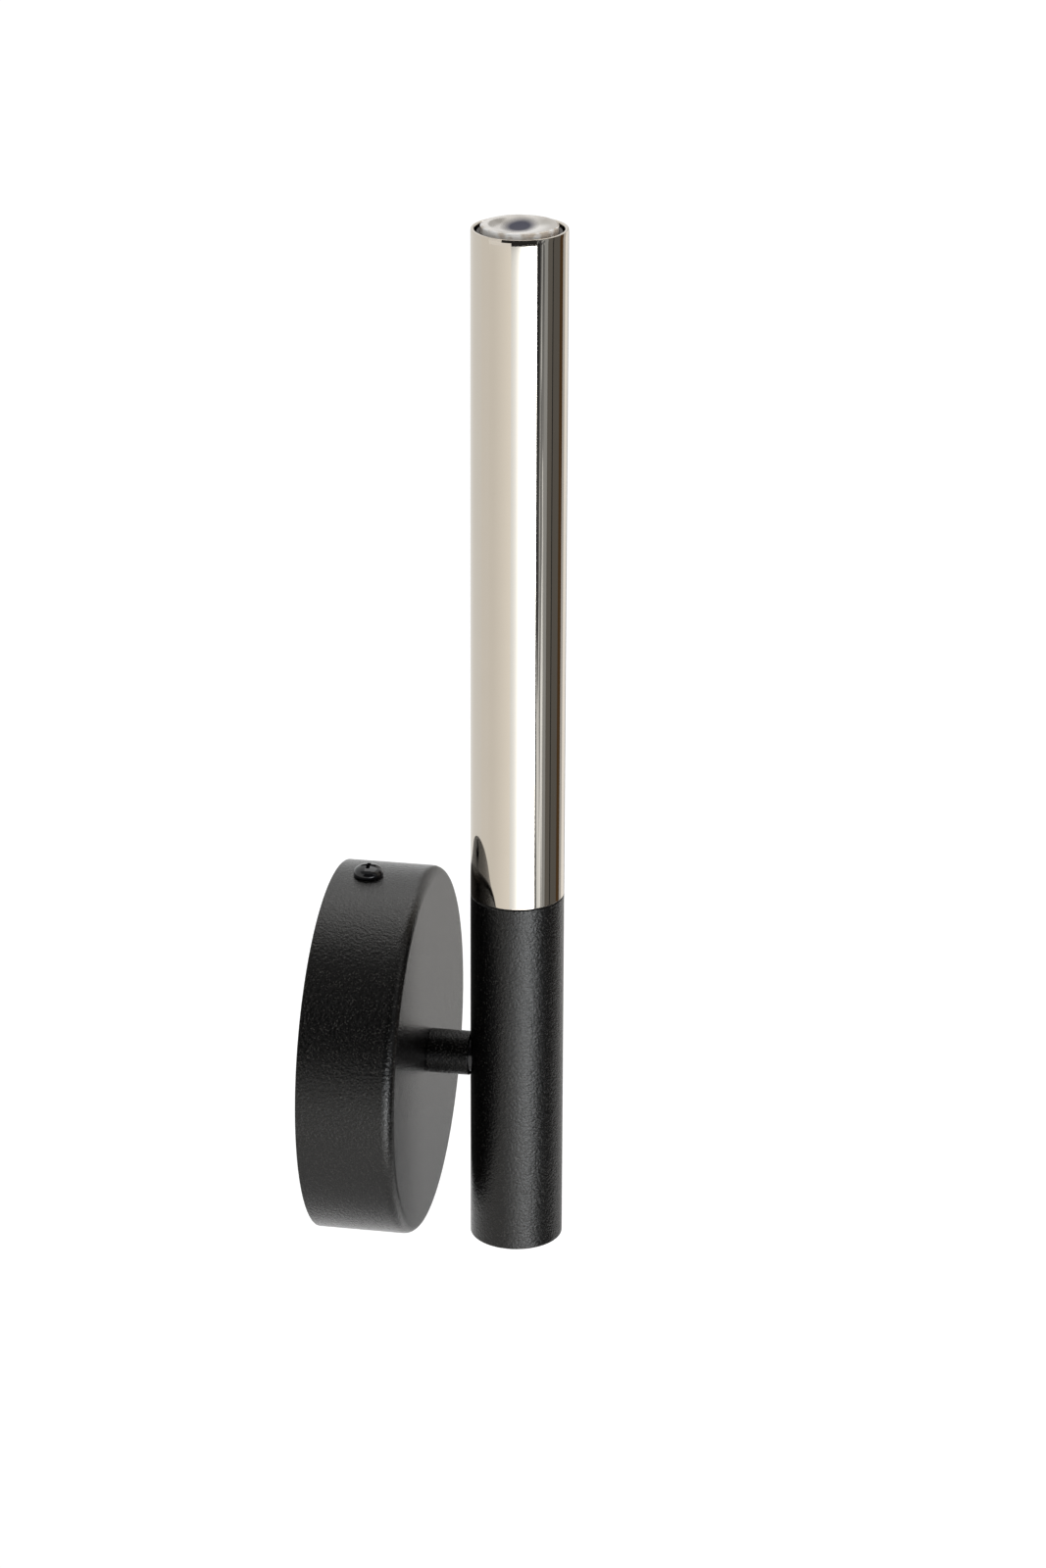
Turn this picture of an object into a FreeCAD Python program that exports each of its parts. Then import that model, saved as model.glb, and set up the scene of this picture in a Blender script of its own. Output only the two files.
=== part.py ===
"""Tube wall light: a round wall canopy, a short swivelling arm and an upright tube with a lens at its top.

Two frames are used. In the wall frame x runs right, y runs up and z runs out of the wall, so z is the
depth of a point. In the tube frame z runs up the axis of the tube. Both start at the height of the arm.
"""
import FreeCAD, Part
import math
import os
import re

import Sketcher
from FreeCAD import Placement, Rotation, Vector

# The driving dimensions, in millimetres and degrees.
SIZES = {
    # canopy
    "cup_diameter": (100, "outer diameter of the canopy"),
    "cup_depth": (26, "height of the canopy off the wall"),
    "cup_wall": (1.2, "sheet thickness of the canopy"),
    "cup_edge_radius": (2.8, "outer radius of the canopy's front edge"),
    "cup_screw_depth": (9.5, "distance of the canopy screws from the wall"),
    # screws
    "screw_diameter": (4, "canopy and earth screws"),
    "screw_head_diameter": (8, "head of the canopy and earth screws"),
    "screw_head_height": (3, "head of the canopy and earth screws"),
    "screw_length": (6, "shank of the canopy screws"),
    "thread_gap": (0.05, "radial gap drawn between a screw and its tapped hole"),
    "screw_hole_gap": (0.25, "radial gap between a screw and a clearance hole"),
    "fit_gap": (0.1, "gap between pieces that are pushed or bonded together"),
    # wall bracket
    "bracket_thickness": (2, "steel sheet of the bracket"),
    "bracket_width": (22, "width of the upright strip"),
    "bend_radius": (1, "inside radius of the bent ears"),
    "ear_width": (14, "width of the bent ears"),
    "ear_length": (15, "how far the ears reach from the wall"),
    "ear_gap": (0.2, "gap between an ear's corners and the cup"),
    "wing_span": (82, "overall width of the cross strip"),
    "wing_height": (24, "height of the cross strip"),
    "entry_diameter": (14, "hole for the supply cable"),
    "slot_spacing": (60, "distance between the wall slots"),
    "slot_width": (5, "width of a wall slot"),
    "slot_length": (12, "overall length of a wall slot"),
    # earth terminal
    "earth_height": (16.5, "height of the earth screw above the arm axis"),
    "earth_offset": (6.5, "distance of the earth screw to the left of the arm axis"),
    "washer_diameter": (7.6, "earth washer"),
    "washer_thickness": (0.8, "earth washer"),
    "lug_thickness": (0.8, "ring of the earth lug"),
    "lug_diameter": (7, "ring of the earth lug"),
    "lug_neck": (2, "distance between the ring and the barrel of the earth lug"),
    "lug_barrel_length": (5, "crimped barrel of the earth lug"),
    # terminal block
    "block_offset": (29, "distance of the terminal block to the left of the arm axis"),
    "block_length": (30, "terminal block, along the row of poles"),
    "block_width": (17, "terminal block, along the wires"),
    "block_height": (14, "terminal block, off the bracket"),
    "pole_pitch": (10, "distance between neighbouring poles"),
    "clamp_diameter": (5, "brass clamp tube"),
    "clamp_bore": (3, "bore of a clamp tube"),
    "clamp_length": (13, "length of a clamp tube"),
    "clamp_height": (7, "height of a clamp's axis in the block"),
    "clamp_screw_diameter": (2.6, "clamp screws"),
    "clamp_screw_spacing": (7, "distance between the two screws of a clamp"),
    "clamp_screw_head": (3.4, "head of a clamp screw"),
    "clamp_screw_head_height": (1.8, "head of a clamp screw"),
    "clamp_screw_shank": (3.5, "shank of a clamp screw"),
    "clamp_screw_slot": (0.7, "slot in the head of a clamp screw"),
    "clamp_screw_rest": (0.75, "height of a clamp screw's tip above the clamp's axis"),
    "clamp_well_diameter": (4, "well that holds a clamp screw"),
    "small_screw_diameter": (3, "screw that holds the terminal block"),
    "small_screw_head_diameter": (5.4, "head of the terminal block's screw"),
    "small_screw_head_height": (2.1, "head of the terminal block's screw"),
    # driver
    "driver_gap": (3, "between the driver's outer corners and the cup's wall"),
    "driver_length": (46, "driver case, upright"),
    "driver_width": (26, "driver case, across"),
    "driver_height": (16, "driver case without its lid, off the wall"),
    "driver_wall": (1.2, "wall of the driver case"),
    "driver_lid_thickness": (1.6, "lid of the driver"),
    "pad_thickness": (1, "double-sided tape under the driver"),
    "driver_pad_width": (22, "double-sided tape under the driver"),
    "driver_pad_height": (20, "double-sided tape under the driver"),
    "driver_board_thickness": (1.6, "circuit board of the driver"),
    "driver_board_height": (3, "height of the board above the inside of the lid"),
    "transformer_size": (11, "side of the driver's transformer"),
    "transformer_height": (9, "driver's transformer"),
    "capacitor_diameter": (6, "driver's capacitors"),
    "capacitor_height": (9, "driver's capacitors"),
    # swivel
    "arm_diameter": (12, "arm sleeve"),
    "arm_gap": (0.1, "running gap between the arm and the canopy"),
    "nipple_diameter": (10, "threaded nipple"),
    "nipple_bore": (7, "bore of the nipple"),
    "swivel_gap": (0.08, "radial running gap of the nipple in the canopy"),
    "friction_diameter": (20, "nylon friction washer"),
    "friction_thickness": (1, "nylon friction washer"),
    "stop_diameter": (20, "stop washer"),
    "stop_thickness": (1, "stop washer"),
    "stop_tab_reach": (13.4, "distance of the tab's end from the arm axis"),
    "stop_tab_width": (3, "width of the tab"),
    "stop_pin_diameter": (2, "stop pin"),
    "stop_pin_radius": (11.8, "distance of the stop pin from the arm axis"),
    "stop_pin_length": (2.4, "how far the stop pin stands off the inside of the cup"),
    "nut_flats": (14, "width across flats of the nipple nuts"),
    "nut_thickness": (3, "one nipple nut"),
    "nipple_tail": (0.6, "how far the nipple stands out of its nuts"),
    "bush_flange_diameter": (9, "cable bush"),
    "bush_flange_thickness": (1, "cable bush"),
    "bush_length": (5, "part of the cable bush inside the nipple"),
    "bush_gap": (0.3, "radial gap round the cable in its bush"),
    "nipple_setback": (0.5, "distance between the nipple's end and the anchor's cable channel"),
    # tube
    "tube_offset": (50, "distance of the tube's axis from the wall"),
    "tube_diameter": (25, "both tubes"),
    "tube_wall": (1, "both tubes"),
    "lower_tube_length": (100, "black tube"),
    "lower_tube_drop": (52, "how far the black tube reaches below the arm axis"),
    "upper_tube_length": (181.7, "polished tube"),
    "joint_gap": (0.3, "thickness of the collar between the tubes"),
    "collar_inset": (0.4, "how far the collar stays back from the tubes' surface"),
    "sleeve_length": (30, "joint sleeve"),
    "sleeve_wall": (1.5, "joint sleeve"),
    "anchor_length": (24, "anchor block inside the black tube"),
    "anchor_channel": (8, "upright cable channel of the anchor"),
    "plug_length": (6, "bottom plug"),
    "plug_recess": (0.3, "how far the plug stays inside the tube's end"),
    "set_screw_diameter": (3, "headless screws"),
    "set_screw_length": (3, "headless screws"),
    "set_screw_socket": (1.5, "hexagon socket, across flats"),
    "set_screw_inset": (8, "distance of the upper headless screw below the joint"),
    # lamp
    "lens_diameter": (20, "lens"),
    "lens_height": (12, "lens, overall"),
    "lens_proud": (1, "how far the lens stands above the tube's rim"),
    "lens_edge_height": (2.8, "straight side of the lens"),
    "lens_foot_diameter": (9, "lens where it meets its holder"),
    "lens_rim_width": (1.4, "flat ring round the dish"),
    "lens_dish_depth": (0.6, "dish in the top of the lens"),
    "lens_well_diameter": (6, "hollow over the emitter"),
    "lens_well_depth": (4.5, "hollow over the emitter"),
    "holder_wall": (0.8, "lens holder"),
    "holder_floor": (1, "thickness of the holder under the lens"),
    "holder_lip": (1, "how far the holder overlaps the straight side of the lens"),
    "board_diameter": (21, "circuit board of the lamp"),
    "board_thickness": (1.6, "circuit board of the lamp"),
    "pad_film": (0.3, "heat-conducting film"),
    "heat_sink_length": (30, "heat sink"),
    "board_screw_diameter": (2, "screws of the board"),
    "board_screw_head": (3.6, "head of a board screw"),
    "board_screw_head_height": (1.4, "head of a board screw"),
    "board_screw_length": (6, "shank of a board screw"),
    "board_hole_radius": (8.6, "distance of the board's screws and leads from the tube's axis"),
    "emitter_side": (3.5, "emitter package"),
    "emitter_thickness": (0.8, "emitter package"),
    "emitter_dome_radius": (1.4, "emitter dome"),
    # wiring
    "cable_diameter": (3.2, "round cable to the lamp"),
    "cable_bend": (8, "bend radius of the cable to the lamp"),
    "cable_split_gap": (0.8, "how far the turning cable stands out of its bush"),
    "cable_end_gap": (14, "distance between the end of the cable and the heat sink"),
    "lead_diameter": (1.3, "thin lamp leads"),
    "lead_end_height": (0.8, "how far the thin leads stand above the board"),
    "lead_spread": (1.6, "distance between the thin leads where they leave the cable"),
    "mains_lead_diameter": (2.2, "mains and earth leads"),
    "lead_bend": (5, "bend radius of the mains leads"),
    "lead_pitch": (5, "distance between the two mains leads"),
    "lead_loop_gap": (13.8, "between the loops of the leads and the cup's wall"),
    "lead_clearance": (6, "distance of the nearest lead from the terminal block"),
    "wire_hole_gap": (0.4, "radial gap round a thin lead"),
}

TURN_TO_WALL = Rotation(Vector(1, 0, 0), 90)
WALL = "wall frame"
TUBE = "tube frame"
EXPORT_FOLDER = "parts"

doc = FreeCAD.newDocument("tube_wall_light")
sheet = doc.addObject("Spreadsheet::Sheet", "Sizes")
for row, (alias, (value, note)) in enumerate(SIZES.items(), start=1):
    sheet.set(f"A{row}", alias)
    sheet.set(f"B{row}", str(value))
    sheet.set(f"C{row}", note)
    sheet.setAlias(f"B{row}", alias)
doc.recompute()

nodes = []


def size(alias):
    """The number in one named cell of the sheet."""
    return float(sheet.get(alias))


def linked(formula):
    """A formula in which every size name points at its cell."""
    return re.sub(r"[a-z]\w*", lambda word: f"Sizes.{word[0]}" if word[0] in SIZES else word[0], formula)


def bind(thing, **formulas):
    """Ties properties to the sheet; a double underscore stands for a dot in the property's path."""
    for path, formula in formulas.items():
        thing.setExpression(path.replace("__", "."), linked(formula))


def place(thing, x="0", y="0", z="0", rotation=None):
    """Turns a thing about its own origin and ties the place of that origin to the sheet."""
    thing.Placement = Placement(Vector(), rotation or Rotation())
    bind(thing, Placement__Base__x=x, Placement__Base__y=y, Placement__Base__z=z)
    return thing


def node(label, thing, frame, wall_place=("0", "0", "0")):
    """Names a finished piece, moves it from its frame into the light's frame and lists it for export."""
    across, up, depth = wall_place
    if frame == WALL:
        place(thing, across, f"-({depth})", up, TURN_TO_WALL)
    else:
        place(thing, y="-tube_offset")
    thing.Label = label
    nodes.append(thing)
    return thing


# ---------------------------------------------------------------- solids from primitives

ALONG = {
    "x": Rotation(Vector(0, 1, 0), 90),
    "y": Rotation(Vector(1, 0, 0), -90),
    "z": Rotation(),
}


def cylinder(name, radius, length, x="0", y="0", z="0", along="z"):
    """A round bar that starts at the given point and runs along one axis."""
    bar = doc.addObject("Part::Cylinder", name)
    bind(bar, Radius=radius, Height=length)
    return place(bar, x, y, z, ALONG[along])


def ball(name, radius, x="0", y="0", z="0"):
    """A sphere about the given point."""
    sphere = doc.addObject("Part::Sphere", name)
    bind(sphere, Radius=radius)
    return place(sphere, x, y, z)


def box(name, across, up, deep, x="0", y="0", z="0"):
    """A block centred on x and y that starts at z."""
    block = doc.addObject("Part::Box", name)
    bind(block, Length=across, Width=up, Height=deep)
    return place(block, f"{x} - ({across}) / 2", f"{y} - ({up}) / 2", z)


def block_node(label, across, up, deep, wall_place):
    """A plain block of the wall frame as a piece of its own, centred on the given place."""
    block = doc.addObject("Part::Box", label.title().replace("_", ""))
    bind(block, Length=across, Width=up, Height=deep)
    middle_across, middle_up, depth = wall_place
    corner = (f"{middle_across} - ({across}) / 2", f"{middle_up} - ({up}) / 2", depth)
    return node(label, block, WALL, corner)


def cut(name, base, *tools):
    """The base with every tool taken away."""
    result = base
    for number, tool in enumerate(tools, start=1):
        step = doc.addObject("Part::Cut", f"{name}Cut{number}")
        step.Base = result
        step.Tool = tool
        result = step
    return result


def fuse(name, *pieces):
    """One solid from pieces that touch or overlap."""
    joined = doc.addObject("Part::MultiFuse", name)
    joined.Shapes = list(pieces)
    joined.Refine = True
    return joined


def common(name, base, tool):
    """What two solids share."""
    shared = doc.addObject("Part::Common", name)
    shared.Base = base
    shared.Tool = tool
    return shared


def group(name, pieces):
    """Separate solids that share one node."""
    bundle = doc.addObject("Part::Compound", name)
    bundle.Links = list(pieces)
    return bundle


# ---------------------------------------------------------------- sketched bodies

def new_body(name):
    """An empty body."""
    return doc.addObject("PartDesign::Body", name)


def new_sketch(body, name, plane, height="0"):
    """A sketch on one of the body's own origin planes, raised off it by a height."""
    support = next(part for part in body.Origin.OriginFeatures if part.Role == plane)
    sketch = body.newObject("Sketcher::SketchObject", name)
    sketch.AttachmentSupport = [(support, "")]
    sketch.MapMode = "FlatFace"
    bind(sketch, AttachmentOffset__Base__z=height)
    return sketch


def locate(sketch, geometry, point, x, y):
    """Ties one point of a sketch to the sheet by its two distances from the origin."""
    for kind, formula in (("DistanceX", x), ("DistanceY", y)):
        number = sketch.addConstraint(Sketcher.Constraint(kind, -1, 1, geometry, point, 1.0))
        sketch.setExpression(f"Constraints[{number}]", linked(formula))


def draw_polygon(sketch, corners):
    """A closed outline through corners given as formulas."""
    first = sketch.GeometryCount
    count = len(corners)
    turn = 2 * math.pi / count
    rough = [Vector(math.cos(turn * number), math.sin(turn * number), 0) for number in range(count)]
    for number in range(count):
        sketch.addGeometry(Part.LineSegment(rough[number], rough[(number + 1) % count]), False)
    for number in range(count):
        following = first + (number + 1) % count
        sketch.addConstraint(Sketcher.Constraint("Coincident", first + number, 2, following, 1))
    for number, (x, y) in enumerate(corners):
        locate(sketch, first + number, 1, x, y)


def draw_rectangle(sketch, across, up, x="0", y="0"):
    """A rectangle about its centre."""
    left = f"{x} - ({across}) / 2"
    right = f"{x} + ({across}) / 2"
    low = f"{y} - ({up}) / 2"
    high = f"{y} + ({up}) / 2"
    draw_polygon(sketch, [(left, low), (right, low), (right, high), (left, high)])


def draw_circle(sketch, radius, x="0", y="0"):
    """A circle about its centre."""
    number = sketch.addGeometry(Part.Circle(Vector(), Vector(0, 0, 1), 1), False)
    locate(sketch, number, 3, x, y)
    constraint = sketch.addConstraint(Sketcher.Constraint("Radius", number, 1.0))
    sketch.setExpression(f"Constraints[{constraint}]", linked(radius))


def pad(body, sketch, length, symmetric=False):
    """Gives a sketch a thickness."""
    feature = body.newObject("PartDesign::Pad", f"{sketch.Name}Pad")
    feature.Profile = sketch
    feature.SideType = "Symmetric" if symmetric else "One side"
    bind(feature, Length=length)
    doc.recompute()
    return feature


def pocket(body, sketch, length=None, reverse=False, symmetric=False):
    """Cuts a sketch out of the body, right through or to a depth, against its normal or reversed."""
    before = body.Shape.Volume
    feature = body.newObject("PartDesign::Pocket", f"{sketch.Name}Pocket")
    feature.Profile = sketch
    feature.SideType = "Symmetric" if symmetric else "One side"
    feature.Reversed = reverse
    if length is None:
        feature.Type = "ThroughAll"
    else:
        bind(feature, Length=length)
    doc.recompute()
    if not body.Shape.Volume < before:
        raise RuntimeError(f"{feature.Name} cuts nothing")
    return feature


def turned(body, sketch):
    """Turns a sketch of the XZ plane about the z axis."""
    feature = body.newObject("PartDesign::Revolution", f"{sketch.Name}Turned")
    feature.Profile = sketch
    feature.ReferenceAxis = (sketch, ["V_Axis"])
    feature.Angle = 360
    doc.recompute()
    return feature


def round_edges(body, feature, radius, chosen):
    """Rounds the edges of a feature that a test chooses."""
    names = [f"Edge{number}" for number, edge in enumerate(feature.Shape.Edges, start=1) if chosen(edge)]
    fillet = body.newObject("PartDesign::Fillet", f"{feature.Name}Round")
    fillet.Base = (feature, names)
    bind(fillet, Radius=radius)
    doc.recompute()
    return fillet


def circle_at(radius, height):
    """A test for a full circle of one radius at one height."""
    def chosen(edge):
        if not isinstance(edge.Curve, Part.Circle) or not edge.Closed:
            return False
        same_radius = math.isclose(edge.Curve.Radius, radius, abs_tol=1e-4)
        return same_radius and math.isclose(edge.Curve.Center.z, height, abs_tol=1e-4)
    return chosen


# ---------------------------------------------------------------- round leads

END_SHARE = 0.9
SHARED_SHARE = 0.45


def lead_path(corners, bend_radius):
    """Straight runs through the corners, joined by tangent arcs; also the tightest radius used."""
    edges = []
    tightest = bend_radius
    start = corners[0]
    last = len(corners) - 2
    for number, corner in enumerate(corners[1:-1], start=1):
        before = corner - corners[number - 1]
        after = corners[number + 1] - corner
        half_turn = before.getAngle(after) / 2
        room_before = before.Length * (END_SHARE if number == 1 else SHARED_SHARE)
        room_after = after.Length * (END_SHARE if number == last else SHARED_SHARE)
        radius = min(bend_radius, min(room_before, room_after) / math.tan(half_turn))
        tightest = min(tightest, radius)
        reach = radius * math.tan(half_turn)
        incoming = before.normalize()
        outgoing = after.normalize()
        enter = corner - incoming * reach
        leave = corner + outgoing * reach
        inward = (outgoing - incoming).normalize()
        middle = corner + inward * radius * (1 / math.cos(half_turn) - 1)
        edges.append(Part.LineSegment(start, enter).toShape())
        edges.append(Part.Arc(enter, middle, leave).toShape())
        start = leave
    edges.append(Part.LineSegment(start, corners[-1]).toShape())
    return Part.Wire(edges), tightest


def lead_solid(name, corners, diameter, bend_radius):
    """A round lead along its path, with its volume held against its section times its length."""
    path, tightest = lead_path(corners, bend_radius)
    section = Part.Wire([Part.makeCircle(diameter / 2, corners[0], corners[1] - corners[0])])
    solid = path.makePipeShell([section], True, False)
    filled = solid.Volume / (math.pi * diameter ** 2 / 4 * path.Length)
    print(f"{name}: length {path.Length:.1f}, tightest bend {tightest:.2f}, volume {filled:.4f}")
    return solid


def lead_node(label, shapes, frame):
    """A node made of one lead or of several separate ones."""
    feature = doc.addObject("Part::Feature", label.title().replace("_", ""))
    feature.Shape = shapes[0] if len(shapes) == 1 else Part.makeCompound(shapes)
    return node(label, feature, frame)


# ---------------------------------------------------------------- screws

# Shape of a pan head: the dome's radius as a share of the head's radius, the width and reach of its
# recess as shares of the head's diameter, and the recess floor as a share of the head's height.
DOME_SHARE = 1.6
RECESS_WIDTH_SHARE = 0.14
RECESS_REACH_SHARE = 0.55
RECESS_FLOOR_SHARE = 0.5


def pan_screw(name, head_diameter, head_height, diameter, length):
    """A domed screw with a cross recess: its head stands on z = 0 and its shank hangs below."""
    head_radius = f"({head_diameter}) / 2"
    dome_radius = f"{head_radius} * {DOME_SHARE}"
    head = common(
        f"{name}Head",
        cylinder(f"{name}Disc", head_radius, head_height),
        ball(f"{name}Dome", dome_radius, z=f"{head_height} - {dome_radius}"),
    )
    shank = cylinder(f"{name}Shank", f"({diameter}) / 2", length, z=f"-({length})")
    blade = f"({head_diameter}) * {RECESS_WIDTH_SHARE}"
    reach = f"({head_diameter}) * {RECESS_REACH_SHARE}"
    depth = f"({head_height}) * {RECESS_FLOOR_SHARE}"
    recess = [
        box(f"{name}BladeA", reach, blade, head_height, z=depth),
        box(f"{name}BladeB", blade, reach, head_height, z=depth),
    ]
    return cut(name, fuse(f"{name}Solid", head, shank), *recess)


# ---------------------------------------------------------------- heights and depths used by several pieces

CUP_RADIUS = "(cup_diameter / 2)"
CUP_INNER_RADIUS = "(cup_diameter / 2 - cup_wall)"
CUP_INNER_DEPTH = "(cup_depth - cup_wall)"
EAR_FACE = f"(sqrt({CUP_INNER_RADIUS} * {CUP_INNER_RADIUS} - ear_width * ear_width / 4) - ear_gap)"
SCREW_RADIUS = "(screw_diameter / 2)"
NIPPLE_RADIUS = "(nipple_diameter / 2)"
TUBE_INNER_RADIUS = "(tube_diameter / 2 - tube_wall)"
INSERT_RADIUS = f"({TUBE_INNER_RADIUS} - fit_gap)"
FRICTION_FACE = f"({CUP_INNER_DEPTH} - friction_thickness)"
STOP_FACE = f"({FRICTION_FACE} - stop_thickness)"
NUT_FACE = f"({STOP_FACE} - nut_thickness * 2)"
NIPPLE_START = f"({NUT_FACE} - nipple_tail)"
BUSH_START = f"({NIPPLE_START} - bush_flange_thickness)"
CABLE_SPLIT = f"({BUSH_START} - cable_split_gap)"
JOINT_HEIGHT = "(lower_tube_length - lower_tube_drop)"
TUBE_TOP = f"({JOINT_HEIGHT} + joint_gap + upper_tube_length)"
LENS_TOP = f"({TUBE_TOP} + lens_proud)"
LENS_FOOT = f"({LENS_TOP} - lens_height)"
BOARD_TOP = f"({LENS_FOOT} - holder_floor)"
BOARD_FOOT = f"({BOARD_TOP} - board_thickness)"
SINK_TOP = f"({BOARD_FOOT} - pad_film)"
SINK_FOOT = f"({SINK_TOP} - heat_sink_length)"
NIPPLE_END = "(tube_offset - anchor_channel / 2 - nipple_setback)"
LUG_BARREL_RADIUS = "(mains_lead_diameter / 2 + lug_thickness)"
SET_SCREW_HEIGHTS = {
    "JointSetScrew": f"({JOINT_HEIGHT} - set_screw_inset)",
    "PlugSetScrew": "(plug_recess + plug_length / 2 - lower_tube_drop)",
}
DRIVER_REACH = f"sqrt({CUP_INNER_RADIUS} * {CUP_INNER_RADIUS} - driver_length * driver_length / 4)"
DRIVER_OFFSET = f"({DRIVER_REACH} - driver_gap - driver_width / 2)"
DRIVER_FOOT = "(bracket_thickness + pad_thickness)"
DRIVER_FACE = f"({DRIVER_FOOT} + driver_lid_thickness + driver_height)"


# ---------------------------------------------------------------- canopy

def canopy_cup():
    """Pressed steel cup, open to the wall, with a bore for the arm and a screw hole above and below."""
    body = new_body("CanopyCup")
    profile = new_sketch(body, "CupProfile", "XZ_Plane")
    bore = f"({NIPPLE_RADIUS} + swivel_gap)"
    draw_polygon(profile, [
        (bore, "cup_depth"),
        (CUP_RADIUS, "cup_depth"),
        (CUP_RADIUS, "0"),
        (CUP_INNER_RADIUS, "0"),
        (CUP_INNER_RADIUS, CUP_INNER_DEPTH),
        (bore, CUP_INNER_DEPTH),
    ])
    cup = turned(body, profile)
    outer_edge = circle_at(size("cup_diameter") / 2, size("cup_depth"))
    cup = round_edges(body, cup, "cup_edge_radius", outer_edge)
    wall = size("cup_wall")
    inner_edge = circle_at(size("cup_diameter") / 2 - wall, size("cup_depth") - wall)
    round_edges(body, cup, "cup_edge_radius / 2", inner_edge)
    holes = new_sketch(body, "CupScrewHoles", "XZ_Plane")
    draw_circle(holes, f"{SCREW_RADIUS} + screw_hole_gap", y="cup_screw_depth")
    pocket(body, holes, symmetric=True)
    node("canopy_cup", body, WALL)


MACHINE_SCREW_HEAD = ("screw_head_diameter", "screw_head_height")


def canopy_screws():
    """Two pan head screws that hold the cup on the bracket's ears, one above and one below."""
    screws = []
    for name, side, turn in (("Top", "", -90), ("Bottom", "-", 90)):
        screw = pan_screw(f"CanopyScrew{name}", *MACHINE_SCREW_HEAD, "screw_diameter", "screw_length")
        place(screw, y=f"{side}{CUP_RADIUS}", z="cup_screw_depth", rotation=Rotation(Vector(1, 0, 0), turn))
        screws.append(screw)
    node("canopy_screws", group("CanopyScrews", screws), WALL)


def stop_pin():
    """Short pin welded inside the cup, below the arm, that the stop washer's tab runs against."""
    depth = f"{CUP_INNER_DEPTH} - stop_pin_length"
    pin = cylinder("StopPin", "stop_pin_diameter / 2", "stop_pin_length")
    node("stop_pin", pin, WALL, ("0", "-stop_pin_radius", depth))


def wall_bracket():
    """Cross-shaped steel plate on the wall whose upright strip ends in two bent and tapped ears."""
    body = new_body("WallBracket")
    strip = new_sketch(body, "StripOutline", "XY_Plane")
    draw_rectangle(strip, "bracket_width", f"2 * ({EAR_FACE} - bracket_thickness - 2 * bend_radius)")
    pad(body, strip, "bracket_thickness")
    wings = new_sketch(body, "WingOutline", "XY_Plane")
    draw_rectangle(wings, "wing_span", "wing_height")
    pad(body, wings, "bracket_thickness")
    ears = new_sketch(body, "EarProfile", "YZ_Plane")
    inner_face = f"({EAR_FACE} - bracket_thickness)"
    draw_polygon(ears, [
        (f"-{EAR_FACE}", "0"),
        (EAR_FACE, "0"),
        (EAR_FACE, "ear_length"),
        (inner_face, "ear_length"),
        (inner_face, "bracket_thickness"),
        (f"-{inner_face}", "bracket_thickness"),
        (f"-{inner_face}", "ear_length"),
        (f"-{EAR_FACE}", "ear_length"),
    ])
    folded = pad(body, ears, "ear_width", symmetric=True)
    face = folded.Shape.BoundBox.YMax
    thickness = size("bracket_thickness")

    def across(edge, height, depth):
        middle = edge.CenterOfMass
        straight = math.isclose(abs(edge.tangentAt(edge.FirstParameter).x), 1, abs_tol=1e-6)
        level = math.isclose(abs(middle.y), height, abs_tol=1e-4)
        return straight and level and math.isclose(middle.z, depth, abs_tol=1e-4)

    bent = round_edges(body, folded, "bend_radius", lambda edge: across(edge, face - thickness, thickness))
    round_edges(body, bent, "bend_radius + bracket_thickness", lambda edge: across(edge, face, 0))
    openings = new_sketch(body, "PlateHoles", "XY_Plane")
    draw_circle(openings, "entry_diameter / 2")
    draw_circle(openings, f"{SCREW_RADIUS} + thread_gap", "-earth_offset", "earth_height")
    draw_circle(openings, "small_screw_diameter / 2 + thread_gap", "-block_offset", "pole_pitch / 2")
    straight = "(slot_length - slot_width)"
    for side in ("", "-"):
        for end in ("+", "-"):
            draw_circle(openings, "slot_width / 2", y=f"{side}slot_spacing / 2 {end} {straight} / 2")
    pocket(body, openings, reverse=True)
    middles = new_sketch(body, "SlotMiddles", "XY_Plane")
    for side in ("", "-"):
        draw_rectangle(middles, "slot_width", straight, y=f"{side}slot_spacing / 2")
    pocket(body, middles, reverse=True)
    taps = new_sketch(body, "EarHoles", "XZ_Plane")
    draw_circle(taps, f"{SCREW_RADIUS} + thread_gap", y="cup_screw_depth")
    pocket(body, taps, symmetric=True)
    node("wall_bracket", body, WALL)


# ---------------------------------------------------------------- earth terminal

def earth_terminal():
    """Screw, toothed washer and crimped ring that bond the bracket to the supply's earth."""
    place_on_plate = ("-earth_offset", "earth_height")
    lug_top = "bracket_thickness + lug_thickness"
    ring = cylinder("LugRing", "lug_diameter / 2", "lug_thickness")
    barrel_start = "(lug_diameter / 2 + lug_neck)"
    tail_length = f"({barrel_start} + lug_thickness)"
    tail = box("LugTail", "mains_lead_diameter", tail_length, "lug_thickness", y=f"{tail_length} / 2")
    barrel_place = ("lug_barrel_length", "0", barrel_start, LUG_BARREL_RADIUS, "y")
    barrel = cylinder("LugBarrel", LUG_BARREL_RADIUS, *barrel_place)
    bore = cylinder("LugBore", "mains_lead_diameter / 2", *barrel_place)
    hole = cylinder("LugHole", f"{SCREW_RADIUS} + thread_gap", "lug_thickness")
    lug = cut("EarthLug", fuse("LugBlank", ring, tail, barrel), bore, hole)
    node("earth_lug", lug, WALL, (*place_on_plate, "bracket_thickness"))

    washer = cut(
        "EarthWasher",
        cylinder("WasherDisc", "washer_diameter / 2", "washer_thickness"),
        cylinder("WasherHole", f"{SCREW_RADIUS} + thread_gap", "washer_thickness"),
    )
    node("earth_washer", washer, WALL, (*place_on_plate, lug_top))

    stack = "(bracket_thickness + lug_thickness + washer_thickness)"
    screw = pan_screw("EarthScrew", *MACHINE_SCREW_HEAD, "screw_diameter", stack)
    node("earth_screw", screw, WALL, (*place_on_plate, stack))


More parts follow.
